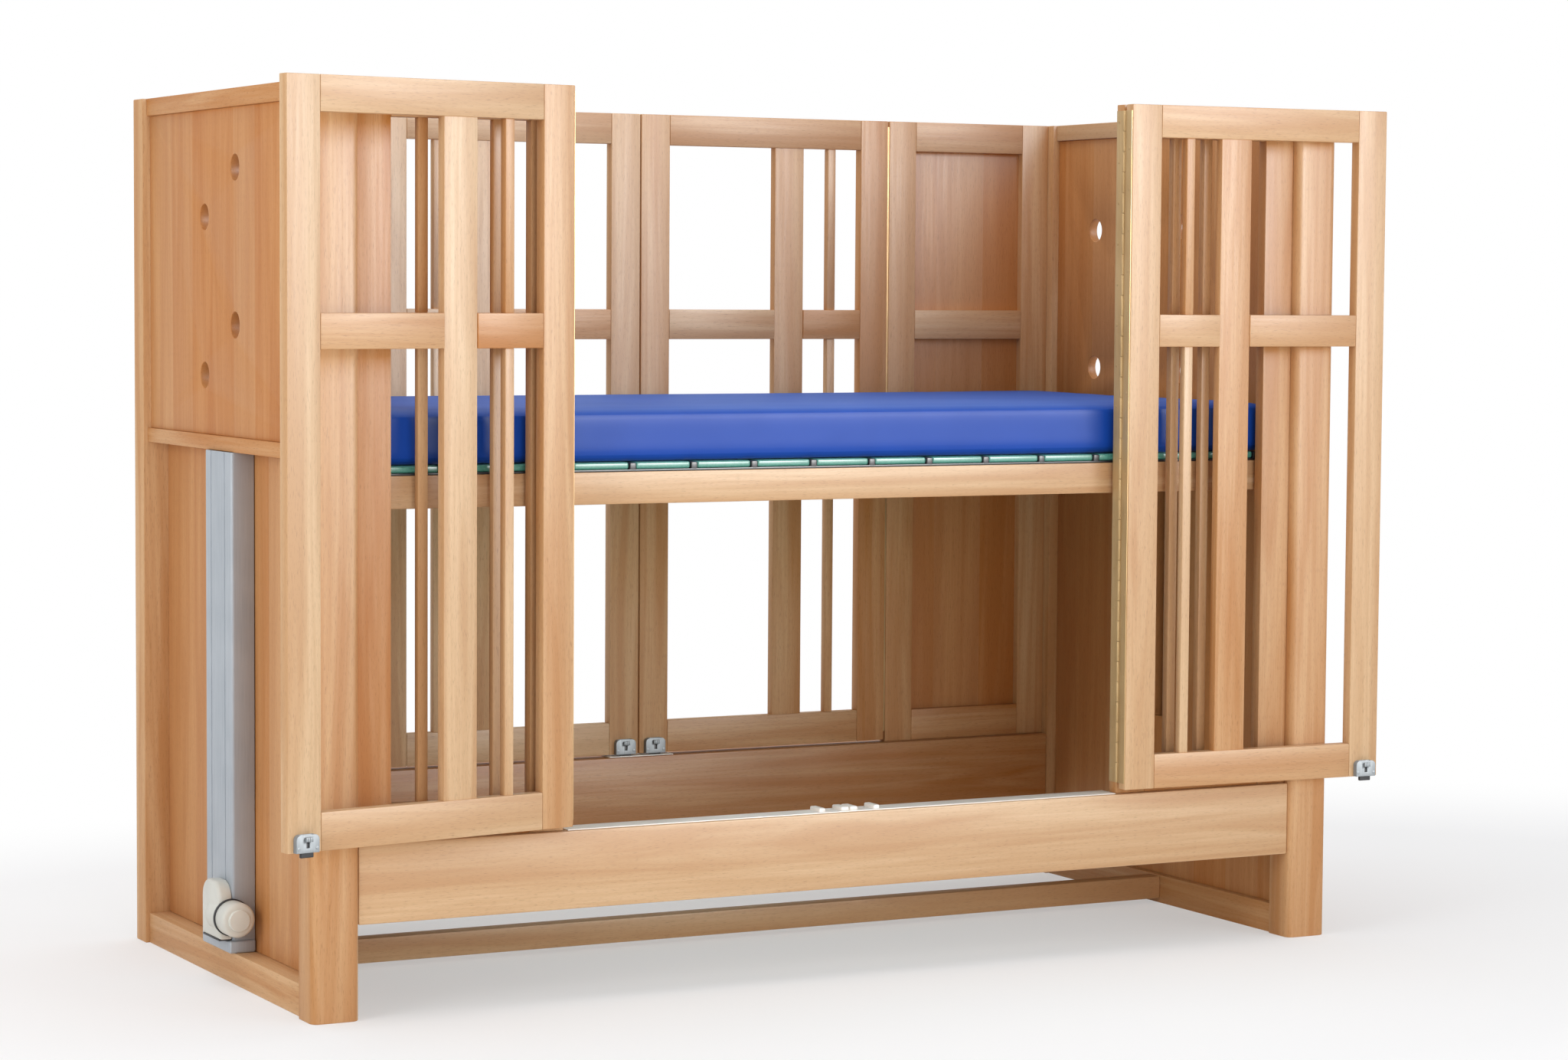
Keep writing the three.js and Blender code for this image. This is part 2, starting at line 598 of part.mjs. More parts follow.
const slatY = [railInset + slats.sideGap, cotSize.depth - railInset - slats.sideGap];
const slatHalfGap = holder.clipWidth / 2 + slats.clipGap;
const slatBlocks = [];
for (let index = 0; index < slatCount; index += 1) {
  const low = slatStart + index * slats.pitch;
  slatBlocks.push(block([low + slatHalfGap, low + slats.pitch - slatHalfGap], slatY, slatZ));
}
const tapeX = [slatStart + slats.pitch / 2, slatStart + (slatCount - 0.5) * slats.pitch];
const tapes = [-1, 1].map((sign) => {
  const tapeY = span(middleY + sign * slatTape.offset - slatTape.width / 2, slatTape.width);
  return block(tapeX, tapeY, span(slatZ[0], slatTape.thickness));
});
place(cot, "slat_deck", join(...tapes, ...slatBlocks), greenSlat);

const mattressOutline = rounded(
  [post.width + mattress.endGap, cotSize.length - post.width - mattress.endGap],
  [leafInside + mattress.sideGap, cotSize.depth - leafInside - mattress.sideGap],
  Array(4).fill(mattress.cornerRadius),
);
place(cot, "mattress", board("XY", mattressOutline, span(slatZ[1] + FIT, mattress.thickness)), blueCover);

// The finished cot is centred over its own box, standing on Z = 0

const extent = new THREE.Box3().setFromObject(cot, true);
const centre = extent.getCenter(new THREE.Vector3());
cot.position.set(-centre.x, -centre.y, -extent.min.z);

export default cot;
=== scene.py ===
import json
import random
from math import cos, radians, sin
import bpy
from mathutils import Matrix, Vector


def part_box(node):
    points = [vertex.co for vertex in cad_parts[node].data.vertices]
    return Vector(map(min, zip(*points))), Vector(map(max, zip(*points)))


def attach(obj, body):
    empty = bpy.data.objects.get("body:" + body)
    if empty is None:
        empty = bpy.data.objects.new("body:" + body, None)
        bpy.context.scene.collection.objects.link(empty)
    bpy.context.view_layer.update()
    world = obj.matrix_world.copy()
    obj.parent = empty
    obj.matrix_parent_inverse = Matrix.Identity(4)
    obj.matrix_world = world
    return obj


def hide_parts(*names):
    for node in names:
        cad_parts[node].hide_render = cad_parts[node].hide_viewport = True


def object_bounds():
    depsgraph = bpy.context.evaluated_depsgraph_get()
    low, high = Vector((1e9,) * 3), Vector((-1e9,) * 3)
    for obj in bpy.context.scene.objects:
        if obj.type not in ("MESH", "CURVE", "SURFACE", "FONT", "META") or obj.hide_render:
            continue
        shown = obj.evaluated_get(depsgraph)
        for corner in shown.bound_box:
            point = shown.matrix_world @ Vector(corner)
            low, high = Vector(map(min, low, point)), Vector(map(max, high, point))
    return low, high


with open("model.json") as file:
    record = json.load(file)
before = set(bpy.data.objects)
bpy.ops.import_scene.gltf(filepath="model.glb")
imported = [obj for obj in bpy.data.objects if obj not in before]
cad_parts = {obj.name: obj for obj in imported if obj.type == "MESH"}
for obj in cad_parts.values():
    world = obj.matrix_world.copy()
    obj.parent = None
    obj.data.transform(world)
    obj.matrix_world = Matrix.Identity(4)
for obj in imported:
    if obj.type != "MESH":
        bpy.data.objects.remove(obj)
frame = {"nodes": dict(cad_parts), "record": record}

# Camera. It stands to the left of the cot's front, a little above the mattress, and looks slightly down.
# It is placed from the outer front corner of the left end, and its lens frames the whole cot.
CAD_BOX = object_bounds()
MM = 0.001
END_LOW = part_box("left_front_post")[0]
FAR_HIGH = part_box("right_rear_post")[1]
CAMERA_FROM_CORNER = Vector((-2352 * MM, -6293 * MM, 1322 * MM))
CAMERA_YAW, CAMERA_PITCH, CAMERA_ROLL = radians(27.632), radians(-3.707), radians(0.381)
CAMERA_SENSOR, CAMERA_LENS = 36, 86.84
CAMERA_REACH = 100

bpy.context.scene.view_settings.view_transform = "Standard"
bpy.ops.object.select_all(action="DESELECT")
ahead = Vector((
    sin(CAMERA_YAW) * cos(CAMERA_PITCH),
    cos(CAMERA_YAW) * cos(CAMERA_PITCH),
    sin(CAMERA_PITCH),
))
level = Vector((cos(CAMERA_YAW), -sin(CAMERA_YAW), 0))
above = level.cross(ahead)
right = level * cos(CAMERA_ROLL) + above * sin(CAMERA_ROLL)
upward = above * cos(CAMERA_ROLL) - level * sin(CAMERA_ROLL)
bpy.ops.object.camera_add()
camera = bpy.context.object
facing = Matrix((right, upward, -ahead)).transposed().to_4x4()
camera.matrix_world = Matrix.Translation(END_LOW + CAMERA_FROM_CORNER) @ facing
camera.data.sensor_width = CAMERA_SENSOR
camera.data.lens = CAMERA_LENS
camera.data.clip_end = CAMERA_REACH
bpy.context.scene.camera = camera

# Studio floor, a pale matt sheet that takes the cot's soft shadow.
# Away from the cot it glows plain white, so that no horizon line shows.
# Where it is seen, it is also lifted a little towards that white.
FLOOR_SIZE = 60
# where the glow starts and is full, in metres from the middle of an oval that is longer along the cot
FLOOR_NEAR, FLOOR_FAR = 0.9, 2.3
FLOOR_OVAL = (0.62, 1, 1)
FLOOR_LIFT = 0.4
WHITE = (1, 1, 1, 1)


def tint(hex_colour):
    """An sRGB hex value as a linear colour."""
    channels = [int(hex_colour[i:i + 2], 16) / 255 for i in (1, 3, 5)]
    linear = [c / 12.92 if c <= 0.04045 else ((c + 0.055) / 1.055) ** 2.4 for c in channels]
    return (*linear, 1)


def add_node(tree, kind, inputs=(), **settings):
    """A node with its settings, whose inputs are values or the sockets that feed them."""
    made = tree.nodes.new(kind)
    for name, value in settings.items():
        setattr(made, name, value)
    for name, value in dict(inputs).items():
        if isinstance(value, bpy.types.NodeSocket):
            tree.links.new(value, made.inputs[name])
        else:
            made.inputs[name].default_value = value
    return made


def calculated(tree, operation, *values):
    """The result of one step of arithmetic on values or sockets."""
    return add_node(tree, "ShaderNodeMath", enumerate(values), operation=operation).outputs[0]


def scaled(tree, vector, scale):
    """Coordinates times a scale along each axis."""
    return add_node(tree, "ShaderNodeMapping", {"Vector": vector, "Scale": scale}).outputs[0]


def spread(tree, value, low, high, to_low=0.0, to_high=1.0, **settings):
    """A value from low to high, stretched to a new range and held within it."""
    inputs = {"Value": value, "From Min": low, "From Max": high, "To Min": to_low, "To Max": to_high}
    return add_node(tree, "ShaderNodeMapRange", inputs, **settings).outputs[0]


def seen_rays(tree):
    """One where a surface is seen, also by reflection or through glass, and zero where it only lights."""
    path = add_node(tree, "ShaderNodeLightPath").outputs
    seen = calculated(tree, "MAXIMUM", path["Is Camera Ray"], path["Is Glossy Ray"])
    return calculated(tree, "MAXIMUM", seen, path["Is Transmission Ray"])


def new_material(name):
    """An empty material, with its node tree and output."""
    material = bpy.data.materials.new(name)
    material.use_nodes = True
    tree = material.node_tree
    tree.nodes.clear()
    return material, tree, tree.nodes.new("ShaderNodeOutputMaterial")


def object_place(tree):
    """The piece's own coordinates, in metres."""
    return add_node(tree, "ShaderNodeTexCoord").outputs["Object"]


def paper_floor():
    """Matt white paper, which turns to an even white glow away from the cot."""
    material, tree, output = new_material("matt_white_paper")
    oval = scaled(tree, object_place(tree), FLOOR_OVAL)
    away = add_node(tree, "ShaderNodeVectorMath", {0: oval}, operation="LENGTH").outputs["Value"]
    fade = spread(tree, away, FLOOR_NEAR, FLOOR_FAR, interpolation_type="SMOOTHSTEP")
    lift = calculated(tree, "MULTIPLY", seen_rays(tree), FLOOR_LIFT)
    fade = calculated(tree, "MAXIMUM", fade, lift)
    matt = add_node(tree, "ShaderNodeBsdfDiffuse", {"Color": tint("#FAFAFA")})
    glow = add_node(tree, "ShaderNodeEmission", {"Color": WHITE, "Strength": 1.0})
    mixed = add_node(tree, "ShaderNodeMixShader", {0: fade, 1: matt.outputs[0], 2: glow.outputs[0]})
    tree.links.new(mixed.outputs[0], output.inputs["Surface"])
    return material


bpy.ops.mesh.primitive_plane_add(size=FLOOR_SIZE, location=(0, 0, CAD_BOX[0][2]))
floor = bpy.context.object
floor.name = "studio_floor"
floor.data.materials.append(paper_floor())

# Light. The world gives even daylight and shows plain white to the camera and in reflections.
# A wide lamp above and behind throws the floor shadow forward, and three in front light the faces.
# A high one at the front right shows only in the lacquer, as a pale sheen on the upper faces.
DAYLIGHT = 0.58
# each lamp's place, the point that it faces, its side in metres and its power in watts
LAMPS = {
    "overhead_lamp": ((-0.3, 0.6, 6.6), (0, 0, 0.3), 5.0, 165),
    "right_lamp": ((3.3, -6.0, 1.9), (0, -0.2, 0.8), 2.2, 55),
    "front_lamp": ((-1.0, -6.6, 0.9), (0, 0, 0.5), 3.0, 98),
    "left_lamp": ((-5.2, -2.2, 2.2), (-0.6, 0, 0.8), 2.4, 76),
    "sheen_lamp": ((2.5, -6.4, 4.0), (-0.4, 0, 1.5), 3.4, 2500),
}

world = bpy.data.worlds.new("daylight_studio")
bpy.context.scene.world = world
world.use_nodes = True
sky = world.node_tree
sky.nodes.clear()
daylight = add_node(sky, "ShaderNodeBackground", {"Color": tint("#F4F6FA"), "Strength": DAYLIGHT})
backdrop = add_node(sky, "ShaderNodeBackground", {"Color": WHITE, "Strength": 1.0})
lit_or_seen = {0: seen_rays(sky), 1: daylight.outputs[0], 2: backdrop.outputs[0]}
shown = add_node(sky, "ShaderNodeMixShader", lit_or_seen)
sky_output = sky.nodes.new("ShaderNodeOutputWorld")
sky.links.new(shown.outputs[0], sky_output.inputs["Surface"])

for name, (place, target, size, power) in LAMPS.items():
    bpy.ops.object.light_add(type="AREA", location=place)
    lamp = bpy.context.object
    lamp.name = name
    lamp.data.size = size
    lamp.data.energy = power
    lamp.rotation_euler = (Vector(target) - Vector(place)).to_track_quat("-Z", "Y").to_euler()
    lamp.visible_diffuse = name != "sheen_lamp"

# Ends. Each is two square beech posts, three rails and two edge-glued beech panels, glued and lacquered.
# The posts' outer corners are well rounded, and the upper panel is pierced with round holes.
POST_ROUND = 15 * MM
ARRIS = 1.6 * MM
PORT_RADIUS = 25 * MM
PORT_ARRIS = 1.2 * MM
CUT_PAST = 10 * MM
# holes of each end: in from the rear post, down from the top rail and up from the mid rail
PORTS = {
    "left": [(500 * MM, 112 * MM, 209 * MM), (327 * MM, 202 * MM, 112 * MM)],
    "right": [(492 * MM, 195 * MM, 114 * MM), (155 * MM, 200 * MM, 114 * MM)],
}
SLOT_WIDTH = 62 * MM
SLOT_BELOW, SLOT_ABOVE = 514 * MM, 14 * MM
PLANK_WIDTH = 118 * MM
PLANK_TONE = 0.035
BOARD_TONE = (-0.1, 0.07)
# wood figure to the metre, along, across and through a board
BANDS = (0.9, 16, 16)
STREAKS = (5, 190, 190)
FLECKS = (70, 1000, 1000)
SMOOTH_ANGLE = radians(35)
# the draws that give each board its own stretch out of 20 m of grain, and its own tone
GRAIN_RANGE = 20
chance = random.Random(12725)


def noise(tree, vector, detail, scale=1.0, distortion=0.0):
    """Soft noise over the given coordinates."""
    inputs = {"Vector": vector, "Scale": scale, "Detail": detail, "Distortion": distortion}
    return add_node(tree, "ShaderNodeTexNoise", inputs).outputs[0]


def blend(tree, factor, first, second):
    """A colour between two others, from the colour sockets of a mix node."""
    return add_node(tree, "ShaderNodeMix", {0: factor, 6: first, 7: second}, data_type="RGBA").outputs[2]


def relief(tree, height, strength, depth, more=(), **settings):
    """A surface turned a little by a height, without being moved."""
    inputs = {"Height": height, "Strength": strength, "Distance": depth, **dict(more)}
    return add_node(tree, "ShaderNodeBump", inputs, **settings).outputs[0]


def coat(tree, output, inputs):
    """Closes a material with one shader."""
    shader = add_node(tree, "ShaderNodeBsdfPrincipled", inputs)
    tree.links.new(shader.outputs[0], output.inputs["Surface"])


def beech(name, pale, mid, dark, plank=0.0):
    """Lacquered beech: pink-tan wood with soft bands 60 mm wide, 5 mm streaks and short dark flecks.

    The grain attribute runs along, across and through each board in metres. Tone shifts each board: a dark
    board is redder and richer, and a pale one is yellower and duller.
    Real flecks are about 0.3 mm wide, and are drawn 1 mm wide so that they show.
    """
    material, tree, output = new_material(name)
    grain = add_node(tree, "ShaderNodeAttribute", attribute_name="grain").outputs["Vector"]
    tone = add_node(tree, "ShaderNodeAttribute", attribute_name="tone").outputs["Fac"]
    bands = noise(tree, scaled(tree, grain, BANDS), 4, distortion=1.4)
    streaks = noise(tree, scaled(tree, grain, STREAKS), 3)
    flecks = noise(tree, scaled(tree, grain, FLECKS), 1)
    streak = spread(tree, streaks, 0.4, 0.72, to_high=0.42)
    fleck = spread(tree, flecks, 0.6, 0.72, to_high=0.34)
    body = blend(tree, spread(tree, bands, 0.37, 0.64), tint(pale), tint(mid))
    body = blend(tree, streak, body, tint(mid))
    body = blend(tree, fleck, body, tint(dark))
    if plank:
        across = add_node(tree, "ShaderNodeSeparateXYZ", {0: grain}).outputs["Y"]
        strip = calculated(tree, "FLOOR", calculated(tree, "DIVIDE", across, plank))
        lot = add_node(tree, "ShaderNodeTexWhiteNoise", {"W": strip}, noise_dimensions="1D").outputs[0]
        tone = calculated(tree, "ADD", tone, spread(tree, lot, 0, 1, -PLANK_TONE, PLANK_TONE))
    shaded = add_node(tree, "ShaderNodeHueSaturation", {
        "Color": body,
        "Hue": calculated(tree, "MULTIPLY_ADD", tone, 0.09, 0.5),
        "Saturation": calculated(tree, "MULTIPLY_ADD", tone, -1.5, 1.0),
        "Value": calculated(tree, "ADD", tone, 1.0),
    })
    coat(tree, output, {
        "Base Color": shaded.outputs[0],
        "Roughness": spread(tree, streaks, 0, 1, 0.46, 0.62),
        "Normal": relief(tree, calculated(tree, "ADD", streak, fleck), 0.12, 0.4 * MM, invert=True),
        "IOR": 1.45,
        "Specular IOR Level": 0.32,
    })
    return material


BEECH = beech("lacquered_beech", "#D5AC7F", "#C18D5B", "#84532D")
BEECH_PANEL = beech("edge_glued_beech", "#CC9866", "#BF8756", "#814D29", PLANK_WIDTH)


def cube(low, high):
    """A box between two corners, with its place in its mesh."""
    bpy.ops.object.select_all(action="DESELECT")
    low, high = Vector(low), Vector(high)
    bpy.ops.mesh.primitive_cube_add(size=1, location=(low + high) / 2)
    made = bpy.context.object
    made.scale = high - low
    bpy.ops.object.transform_apply(location=True, rotation=True, scale=True)
    return made


def only(piece):
    """Selects one piece alone and makes it active."""
    bpy.ops.object.select_all(action="DESELECT")
    piece.select_set(True)
    bpy.context.view_layer.objects.active = piece


def soften(piece, width, segments=2, angle=30):
    """Rounds the edges that are sharper than the angle."""
    only(piece)
    bevel = piece.modifiers.new("arris", "BEVEL")
    bevel.width = width
    bevel.segments = segments
    bevel.limit_method = "ANGLE"
    bevel.angle_limit = radians(angle)
    bpy.ops.object.modifier_apply(modifier=bevel.name)


def round_edges(piece, chosen, width, segments=5):
    """Bevels the edges whose two end points pass a test, in edit mode."""
    only(piece)
    bpy.ops.object.mode_set(mode="EDIT")
    bpy.ops.mesh.select_mode(type="EDGE")
    bpy.ops.mesh.select_all(action="DESELECT")
    bpy.ops.object.mode_set(mode="OBJECT")
    mesh = piece.data
    for edge in mesh.edges:
        a, b = (mesh.vertices[i].co for i in edge.vertices)
        edge.select = chosen(a, b)
    bpy.ops.object.mode_set(mode="EDIT")
    bpy.ops.mesh.bevel(offset=width, segments=segments, affect="EDGES")
    bpy.ops.object.mode_set(mode="OBJECT")


def cut_away(piece, cutter):
    """Cuts one piece out of another and deletes the cutter."""
    only(piece)
    cut = piece.modifiers.new("cut", "BOOLEAN")
    cut.operation = "DIFFERENCE"
    cut.solver = "EXACT"
    cut.object = cutter
    bpy.ops.object.modifier_apply(modifier=cut.name)
    bpy.data.objects.remove(cutter)


def lay_grain(piece, along):
    """Gives a board its own grain: the coordinates along, across and through it, and a tone of its own."""
    mesh = piece.data
    sizes = [max(v.co[i] for v in mesh.vertices) - min(v.co[i] for v in mesh.vertices) for i in range(3)]
    first = "xyz".index(along)
    rest = sorted((i for i in range(3) if i != first), key=lambda i: -sizes[i])
    start = [chance.uniform(0, GRAIN_RANGE) for _ in range(3)]
    grain = mesh.attributes.new("grain", "FLOAT_VECTOR", "POINT")
    flat = [start[k] + v.co[axis] for v in mesh.vertices for k, axis in enumerate((first, *rest))]
    grain.data.foreach_set("vector", flat)
    tone = mesh.attributes.new("tone", "FLOAT", "POINT")
    tone.data.foreach_set("value", [chance.uniform(*BOARD_TONE)] * len(mesh.vertices))


def board(low, high, along, arris=ARRIS):
    """A planed board with eased edges, its grain along x, y or z."""
    made = cube(low, high)
    soften(made, arris)
    lay_grain(made, along)
    return made


def joined(pieces):
    """Several meshes as one object."""
    bpy.ops.object.select_all(action="DESELECT")
    for piece in pieces:
        piece.select_set(True)
    bpy.context.view_layer.objects.active = pieces[0]
    bpy.ops.object.join()
    return bpy.context.object


def fit(piece, name, body, material, slot, *nodes):
    """Names a finished piece, gives it its material and sets it on its body in place of its CAD nodes."""
    piece.name = name
    piece.data.name = name
    piece.data.materials.clear()
    piece.data.materials.append(material)
    only(piece)
    bpy.ops.object.shade_smooth_by_angle(angle=SMOOTH_ANGLE)
    if nodes:
        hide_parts(*nodes)
    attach(piece, body)


def peg(radius, low, high, axis, sides):
    """A round bar from low to high along an axis."""
    low, high = Vector(low), Vector(high)
    turn = {"x": (0, radians(90), 0), "y": (radians(90), 0, 0), "z": (0, 0, 0)}[axis]
    bpy.ops.object.select_all(action="DESELECT")
    bpy.ops.mesh.primitive_cylinder_add(
        vertices=sides, radius=radius, depth=(high - low).length, location=(low + high) / 2, rotation=turn)
    bpy.ops.object.transform_apply(location=True, rotation=True, scale=True)
    return bpy.context.object


for side in ("left", "right"):
    for face in ("front", "rear"):
        node = f"{side}_{face}_post"
        low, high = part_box(node)
        outer = low.y if face == "front" else high.y
        post = cube(low, high)
        round_edges(post, lambda a, b: abs(a.z - b.z) > 1 and abs(a.y - outer) < MM, POST_ROUND)
        soften(post, ARRIS)
        lay_grain(post, "z")
        fit(post, f"{node}_beech", "frame", BEECH, "beech", node)
    for rail in ("top_rail", "mid_rail", "bottom_rail"):
        node = f"{side}_{rail}"
        low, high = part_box(node)
        fit(board(low, high, "y"), f"{node}_beech", "frame", BEECH, "beech", node)

    node = f"{side}_upper_panel"
    low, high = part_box(node)
    panel = cube(low, high)
    for from_rear, below_top, above_mid in PORTS[side]:
        for level_z in (high.z - below_top, low.z + above_mid):
            port_y = high.y - from_rear
            port_low = (low.x - CUT_PAST, port_y, level_z)
            port_high = (high.x + CUT_PAST, port_y, level_z)
            cut_away(panel, peg(PORT_RADIUS, port_low, port_high, "x", sides=48))
    soften(panel, PORT_ARRIS, segments=3)
    lay_grain(panel, "z")
    fit(panel, f"{node}_beech", "frame", BEECH_PANEL, "beech_panel", node)

    node = f"{side}_lower_panel"
    low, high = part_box(node)
    rail_low, rail_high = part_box("platform_front_rail")
    middle_y = (low.y + high.y) / 2
    panel = cube(low, high)
    slot_low = (low.x - CUT_PAST, middle_y - SLOT_WIDTH / 2, rail_low.z - SLOT_BELOW)
    slot_high = (high.x + CUT_PAST, middle_y + SLOT_WIDTH / 2, rail_high.z + SLOT_ABOVE)
    cut_away(panel, cube(slot_low, slot_high))
    soften(panel, ARRIS)
    lay_grain(panel, "z")
    fit(panel, f"{node}_beech", "frame", BEECH_PANEL, "beech_panel", node)

# Sills and tie beam. Solid beech rails that run from end to end, with bolt holes in the sills' top edges.
# The tie beam lies low on the floor line between the two bottom rails.
SILL_ARRIS = 3 * MM
BOLT_WIDTH, BOLT_THICK = 26 * MM, 6.6 * MM
POCKET_CLEAR = 1.2 * MM
POCKET_DEPTH = 12 * MM


def bolt_pocket(face, side, low_z, high_z):
    """A cutter for the hole that takes the bolt of a shut door."""
    low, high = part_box(f"rear_{side}_latch_bolt")
    rear_y = high.y - BOLT_THICK / 2
    pocket_y = rear_y if face == "rear" else END_LOW.y + FAR_HIGH.y - rear_y
    middle = Vector(((low.x + high.x) / 2, pocket_y, 0))
    half = Vector((BOLT_WIDTH / 2 + POCKET_CLEAR, BOLT_THICK / 2 + POCKET_CLEAR, 0))
    return cube(middle - half + Vector((0, 0, low_z)), middle + half + Vector((0, 0, high_z)))


for face in ("front", "rear"):
    node = f"{face}_sill"
    low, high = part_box(node)
    sill = cube(low, high)
    soften(sill, SILL_ARRIS)
    for side in ("left", "right"):
        cut_away(sill, bolt_pocket(face, side, high.z - POCKET_DEPTH, high.z + MM))
    lay_grain(sill, "x")
    fit(sill, f"{node}_beech", "frame", BEECH, "beech", node)
low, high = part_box("tie_beam")
fit(board(low, high, "x", SILL_ARRIS), "tie_beam_beech", "frame", BEECH, "beech", "tie_beam")

# Bolt strips. A white plastic strip on the front sill, with moulded guides at the middle for the door bolts,
# and a short plain plate on the rear sill. The guides are rounded teeth with a gap for each bolt.
STRIP_THICK = 2 * MM
STRIP_ARRIS = 0.7 * MM
BOLT_FROM_MIDDLE = 35 * MM
BOLT_GAP = 34 * MM
TOOTH = 14 * MM
TOOTH_DEPTH = 40 * MM
TOOTH_ROUND = 3.2 * MM
# flow marks and grit to the metre
FLOW, GRIT = 14, 1 / (0.7 * MM)


def moulded_plastic(name, colour, shade, roughness):
    """Moulded plastic: an even colour with faint flow marks, 70 mm long, and a fine spark-eroded grit.

    The real grit is about 0.1 mm, and is drawn 0.7 mm wide so that it shows.
    """
    material, tree, output = new_material(name)
    place = object_place(tree)
    flow = spread(tree, noise(tree, place, 3, FLOW), 0.35, 0.65)
    grit = noise(tree, place, 1, GRIT)
    coat(tree, output, {
        "Base Color": blend(tree, flow, tint(colour), tint(shade)),
        "Roughness": spread(tree, grit, 0, 1, roughness - 0.06, roughness + 0.08),
        "Normal": relief(tree, grit, 0.1, 0.3 * MM),
        "IOR": 1.49,
    })
    return material


WHITE_PLASTIC = moulded_plastic("white_polyamide", "#F7F1E9", "#EFE8DF", 0.42)
for face, node in (("front", "front_sill_strip"), ("rear", "rear_strike_plate")):
    low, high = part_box(node)
    middle_x = (low.x + high.x) / 2
    strip = cube(low, (high.x, high.y, low.z + STRIP_THICK))
    soften(strip, STRIP_ARRIS)
    for side in ("left", "right"):
        cut_away(strip, bolt_pocket(face, side, low.z - MM, high.z + MM))
    pieces = [strip]
    if face == "front":
        inner = BOLT_FROM_MIDDLE - BOLT_GAP / 2
        outer = BOLT_FROM_MIDDLE + BOLT_GAP / 2
        for start, end in ((-outer - TOOTH, -outer), (-inner, -MM), (MM, inner), (outer, outer + TOOTH)):
            tooth_low = (middle_x + start, high.y - TOOTH_DEPTH, low.z)
            tooth = cube(tooth_low, (middle_x + end, high.y, high.z))
            soften(tooth, TOOTH_ROUND, segments=4)
            pieces.append(tooth)
    fit(joined(pieces), f"{node}_moulded", "frame", WHITE_PLASTIC, "white_plastic", node)

# Side frames. Fixed beech frames beside the doors, mortised together and screwed to the posts and the sill.
# The front pair has three slim bars between its rails, and the rear pair a thin panel let in from behind.
STILE = 67 * MM
TOP_RAIL = 64 * MM
BOTTOM_RAIL = 68 * MM
MID_RAIL_LOW = 1205 * MM
MID_RAIL_HIGH = 1268 * MM
SIDE_BARS = 3
BAR = 20 * MM
BAR_INSET = 4 * MM
BAR_ROUND = 3 * MM
PANEL_ARRIS = 0.6 * MM
REBATE = 9 * MM
JOINT_GAP = 0.2 * MM

for face in ("front", "rear"):
    for side in ("left", "right"):
        node = f"{face}_{side}_side_frame"
        low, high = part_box(node)
        rows = ((low.z + BOTTOM_RAIL, MID_RAIL_LOW), (MID_RAIL_HIGH, high.z - TOP_RAIL))
        left_in, right_in = low.x + STILE, high.x - STILE
        boards = [
            board(low, (left_in - JOINT_GAP, high.y, high.z), "z"),
            board((right_in + JOINT_GAP, low.y, low.z), high, "z"),
            board((left_in, low.y, low.z), (right_in, high.y, rows[0][0]), "x"),
            board((left_in, low.y, rows[1][1]), (right_in, high.y, high.z), "x"),
        ]
        if face == "front":
            boards.append(board((left_in, low.y, MID_RAIL_LOW), (right_in, high.y, MID_RAIL_HIGH), "x"))
            gap = (right_in - left_in - SIDE_BARS * BAR) / (SIDE_BARS + 1)
            for index in range(SIDE_BARS):
                start = left_in + gap + index * (gap + BAR)
                for row_low, row_high in rows:
                    bar_low = (start, low.y + BAR_INSET, row_low - MM)
                    bar_high = (start + BAR, high.y - BAR_INSET, row_high + MM)
                    boards.append(board(bar_low, bar_high, "z", BAR_ROUND))
        else:
            rail_high = (right_in, high.y - REBATE, MID_RAIL_HIGH)
            boards.append(board((left_in, low.y, MID_RAIL_LOW), rail_high, "x"))
        fit(joined(boards), f"{node}_beech", "frame", BEECH, "beech", node)
        if face == "rear":
            node = f"{face}_{side}_side_panel"
            low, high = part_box(node)
            panel = board(low, high, "z", PANEL_ARRIS)
            fit(panel, f"{node}_beech", "frame", BEECH_PANEL, "beech_panel", node)

# Doors. Each is a beech frame with a slim bar and a wide slat, and the mid rail is cut round the slat.
# They are drawn shut about their hinge axis and turned to where they rest: the front pair stands folded open.
DOOR_BAR_GAP = 60 * MM
DOOR_SLAT = 70 * MM
SLAT_INSET = 2.5 * MM
HINGE_HALF_GAP = 2 * MM
LEAF_OFFSET = 4 * MM
LEAF_THICK = 26 * MM
# how far each front door stands at rest from lying flat along the front
FOLD = {"left": radians(9.4), "right": radians(2.0)}
SIDE_SIGN = {"left": 1, "right": -1}
FACE_SIGN = {"front": 1, "rear": -1}
joints = frame["record"]["behaviour"]["joints"]
axis_at = {joint["name"]: Vector(joint["pos_m"]) for joint in joints if "pos_m" in joint}
closed_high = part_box("rear_left_door_frame")[1]
rear_axis = axis_at["rear_left_door_swing"]
DOOR_END = closed_high.x - rear_axis.x
DOOR_HIGH = closed_high.z
DOOR_LOW = {face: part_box(f"{face}_left_door_frame")[0].z for face in ("front", "rear")}


def door_place(face, side):
    """Where a door drawn shut about its hinge axis stands at rest."""
    axis = axis_at[f"{face}_{side}_door_swing"]
    angle = -SIDE_SIGN[side] * (radians(180) - FOLD[side]) if face == "front" else 0
    return Matrix.Translation((axis.x, axis.y, 0)) @ Matrix.Rotation(angle, 4, "Z")


def corners(face, side, out, back, up):
    """Two corners of a box, from its distances out from the hinge, back from it, and up."""
    x = sorted(SIDE_SIGN[side] * value for value in out)
    y = sorted(FACE_SIGN[face] * value for value in back)
    return (x[0], y[0], up[0]), (x[1], y[1], up[1])


def door_board(face, side, out, up, along, inset=0.0, arris=ARRIS):
    """One board of a door that is drawn shut."""
    back = (LEAF_OFFSET + inset, LEAF_OFFSET + LEAF_THICK - inset)
    return board(*corners(face, side, out, back, up), along, arris)


